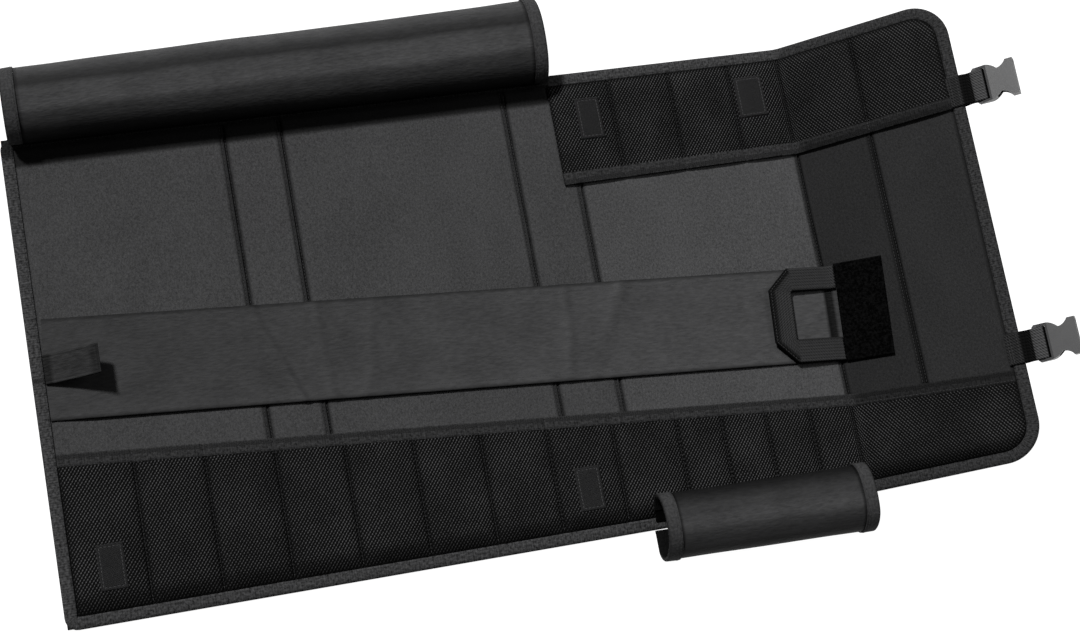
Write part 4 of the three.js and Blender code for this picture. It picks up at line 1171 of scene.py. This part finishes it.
def tab_face(side, share, v, bottom=0, top=TAB["thickness"]):
    edge = np.minimum(np.minimum(v - TAB["low"], TAB_HIGH - v), (1 - share) * TAB["length"])
    off = (bottom + top) / 2 + side * (top - bottom) / 2 * (0.3 + 0.7 * rounded(edge, 0.8))
    if side > 0:
        off = off - 0.25 * np.exp(-((edge - 2.4) / 0.5) ** 2)
    lift = BAND_TOP + CLEARANCE + TAB["lift"] * share ** 1.2
    return on_case(TAB_START + share * TAB["length"], v, lift + off)


tab_rows = merged(both_edges(TAB["low"], TAB_HIGH, (0.3, 0.8, 1.9, 2.4, 2.9)),
                  spread(TAB["low"], TAB_HIGH, 1.4), least=0.2)
tab_columns = merged(spread(0, 1, 0.03), [0.94, 0.95, 0.96, 0.985, 0.995], least=0.004)
tab = cloth("tab_satin", tab_columns, tab_rows, tab_face)
refit_flat(tab, lambda flat: flat * (TAB["length"], 1, 1))
made, flat, colour, grain = satin("tab_satin", 0.004, 0.019)
ends = (flat.axis(0) * (1000 / TAB["length"])).ramp(
    (0.1, 0.25), (0.17, 1.0), (0.8, 1.0), (0.88, 0.55), (1.0, 0.5))
wear(tab, finish_shader(made, colour.times(ends), grain, 0.0003))
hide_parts("pull_tab")
hook_columns = merged(spread(1 - TAB["hook"] / TAB["length"], 1, 0.02), least=0.004)
tab_hook = cloth(
    "tab_hook_pad", hook_columns, tab_rows,
    lambda side, share, v: tab_face(side, share, v, TAB_HOOK_LOW, -CLEARANCE))
wear(tab_hook, hook_finish)
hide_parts("pull_tab_hook")

# Buckle straps
# Webbing is sewn over both faces of the binding with three rows, drawn together and looped round the
# buckle's bar. The loop stands out slack, so that it fills the socket's slot.
STRAP_WIDTH = 30
STRAP_THICKNESS = 1.5
STRAP_SEWN = 14
STRAP_REACH = 14
BAR_HALF = 1.5
STRAPS = {"upper": 132, "lower": -123}
BAR_MIDDLE = BINDING_HEIGHT / 2
BAR_AT = TOTAL_LENGTH + BINDING_PROUD + STRAP_REACH
LOOP_RADIUS = BAR_HALF * math.sqrt(2) + CLEARANCE + STRAP_THICKNESS / 2
strap_sewn = BINDING_HEIGHT / 2 + CLEARANCE + STRAP_THICKNESS / 2
strap_edge = TOTAL_LENGTH + BINDING_PROUD
strap_together = STRAP_THICKNESS / 2 + CLEARANCE
LOOP_SLACK = 6.6
STRAP_STEPS = 120


def loop_point(degrees, slack=0.0):
    """A point of the loop round the bar, at an angle."""
    turn = math.radians(degrees)
    return (BAR_AT + slack + LOOP_RADIUS * math.cos(turn), LOOP_RADIUS * math.sin(turn))


strap_half = [
    (strap_edge - STRAP_SEWN, strap_sewn), (strap_edge - 7, strap_sewn), (strap_edge, strap_sewn),
    (strap_edge + STRAP_REACH * 0.2, strap_sewn * 0.8),
    (strap_edge + STRAP_REACH * 0.5, strap_together + CLEARANCE),
    (BAR_AT - LOOP_RADIUS * 1.2, strap_together + 2 * CLEARANCE),
    loop_point(130), (BAR_AT, LOOP_RADIUS), (BAR_AT + LOOP_SLACK * 0.6, LOOP_RADIUS),
    *[loop_point(degrees, LOOP_SLACK) for degrees in (75, 50, 25, 0)],
]
strap_path = np.array(strap_half + [(s, -off) for s, off in strap_half[-2::-1]])
strap_curve, strap_length = centripetal(strap_path, STRAP_STEPS + 1)
strap_tangent = np.gradient(strap_curve, axis=0)
strap_tangent /= np.linalg.norm(strap_tangent, axis=1)[:, None]

made, flat, colour, height = woven_webbing("strap_webbing", 0.012, 0.062)
# The webbing lies in the socket's shade between the binding and the bar
strap_share = (flat.axis(0) * (1000 / strap_length)).ramp(
    (0.165, 0.22), (0.18, 0.0), (0.31, 0.0), (0.325, 0.8), (0.455, 0.8), (0.465, 0.0))
strap_finish = finish_shader(made, colour.times(strap_share), height, 0.0004)

for place, middle in STRAPS.items():
    low_edge, high_edge = middle - STRAP_WIDTH / 2, middle + STRAP_WIDTH / 2

    def strap_face(side, index, v):
        k = np.rint(index).astype(int)
        round_off = rounded(STRAP_WIDTH / 2 - np.abs(v - middle), 0.8)
        reach = side * STRAP_THICKNESS / 2 * (0.3 + 0.7 * round_off)
        s = strap_curve[k, 0] - strap_tangent[k, 1] * reach
        return on_case(s, v, BAR_MIDDLE + strap_curve[k, 1] + strap_tangent[k, 0] * reach)

    rows = merged(both_edges(low_edge, high_edge, (0, 0.25, 0.8, 2)), spread(middle - 12, middle + 12, 2),
                  least=0.15)
    strap = cloth("strap_webbing_" + place, np.arange(STRAP_STEPS + 1.0), rows, strap_face)
    refit_flat(strap, lambda flat: flat * (strap_length / STRAP_STEPS, 1, 1))
    wear(strap, strap_finish)
    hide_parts("buckle_strap_" + place)
    sewn = np.linspace(low_edge + 1.5, high_edge - 1.5, 20)
    sew("strap_stitches_" + place, [
        run_of(lambda above: on_case(np.full(20, strap_edge - off), sewn, np.full(20, above)),
               BAR_MIDDLE + strap_sewn + STRAP_THICKNESS / 2)
        for off in (11.5, 9, 2.5)])

# Buckle sockets
# The socket half of a side-release buckle, moulded in grey plastic, hangs on each strap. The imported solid
# already has its waist, bar and hollow, so it keeps its shape and gets its finish here.
plastic_finish, _ = material("moulded_plastic", 0.38, specular=0.4)
there = object_places(plastic_finish)
grain = there.noise(2600)
finish_shader(plastic_finish, there.noise(60).between(grey(0.024), grey(0.034)), grain, 0.00005,
              roughness=0.32 + grain * 0.14)
for place in STRAPS:
    wear(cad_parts["buckle_socket_" + place], plastic_finish)
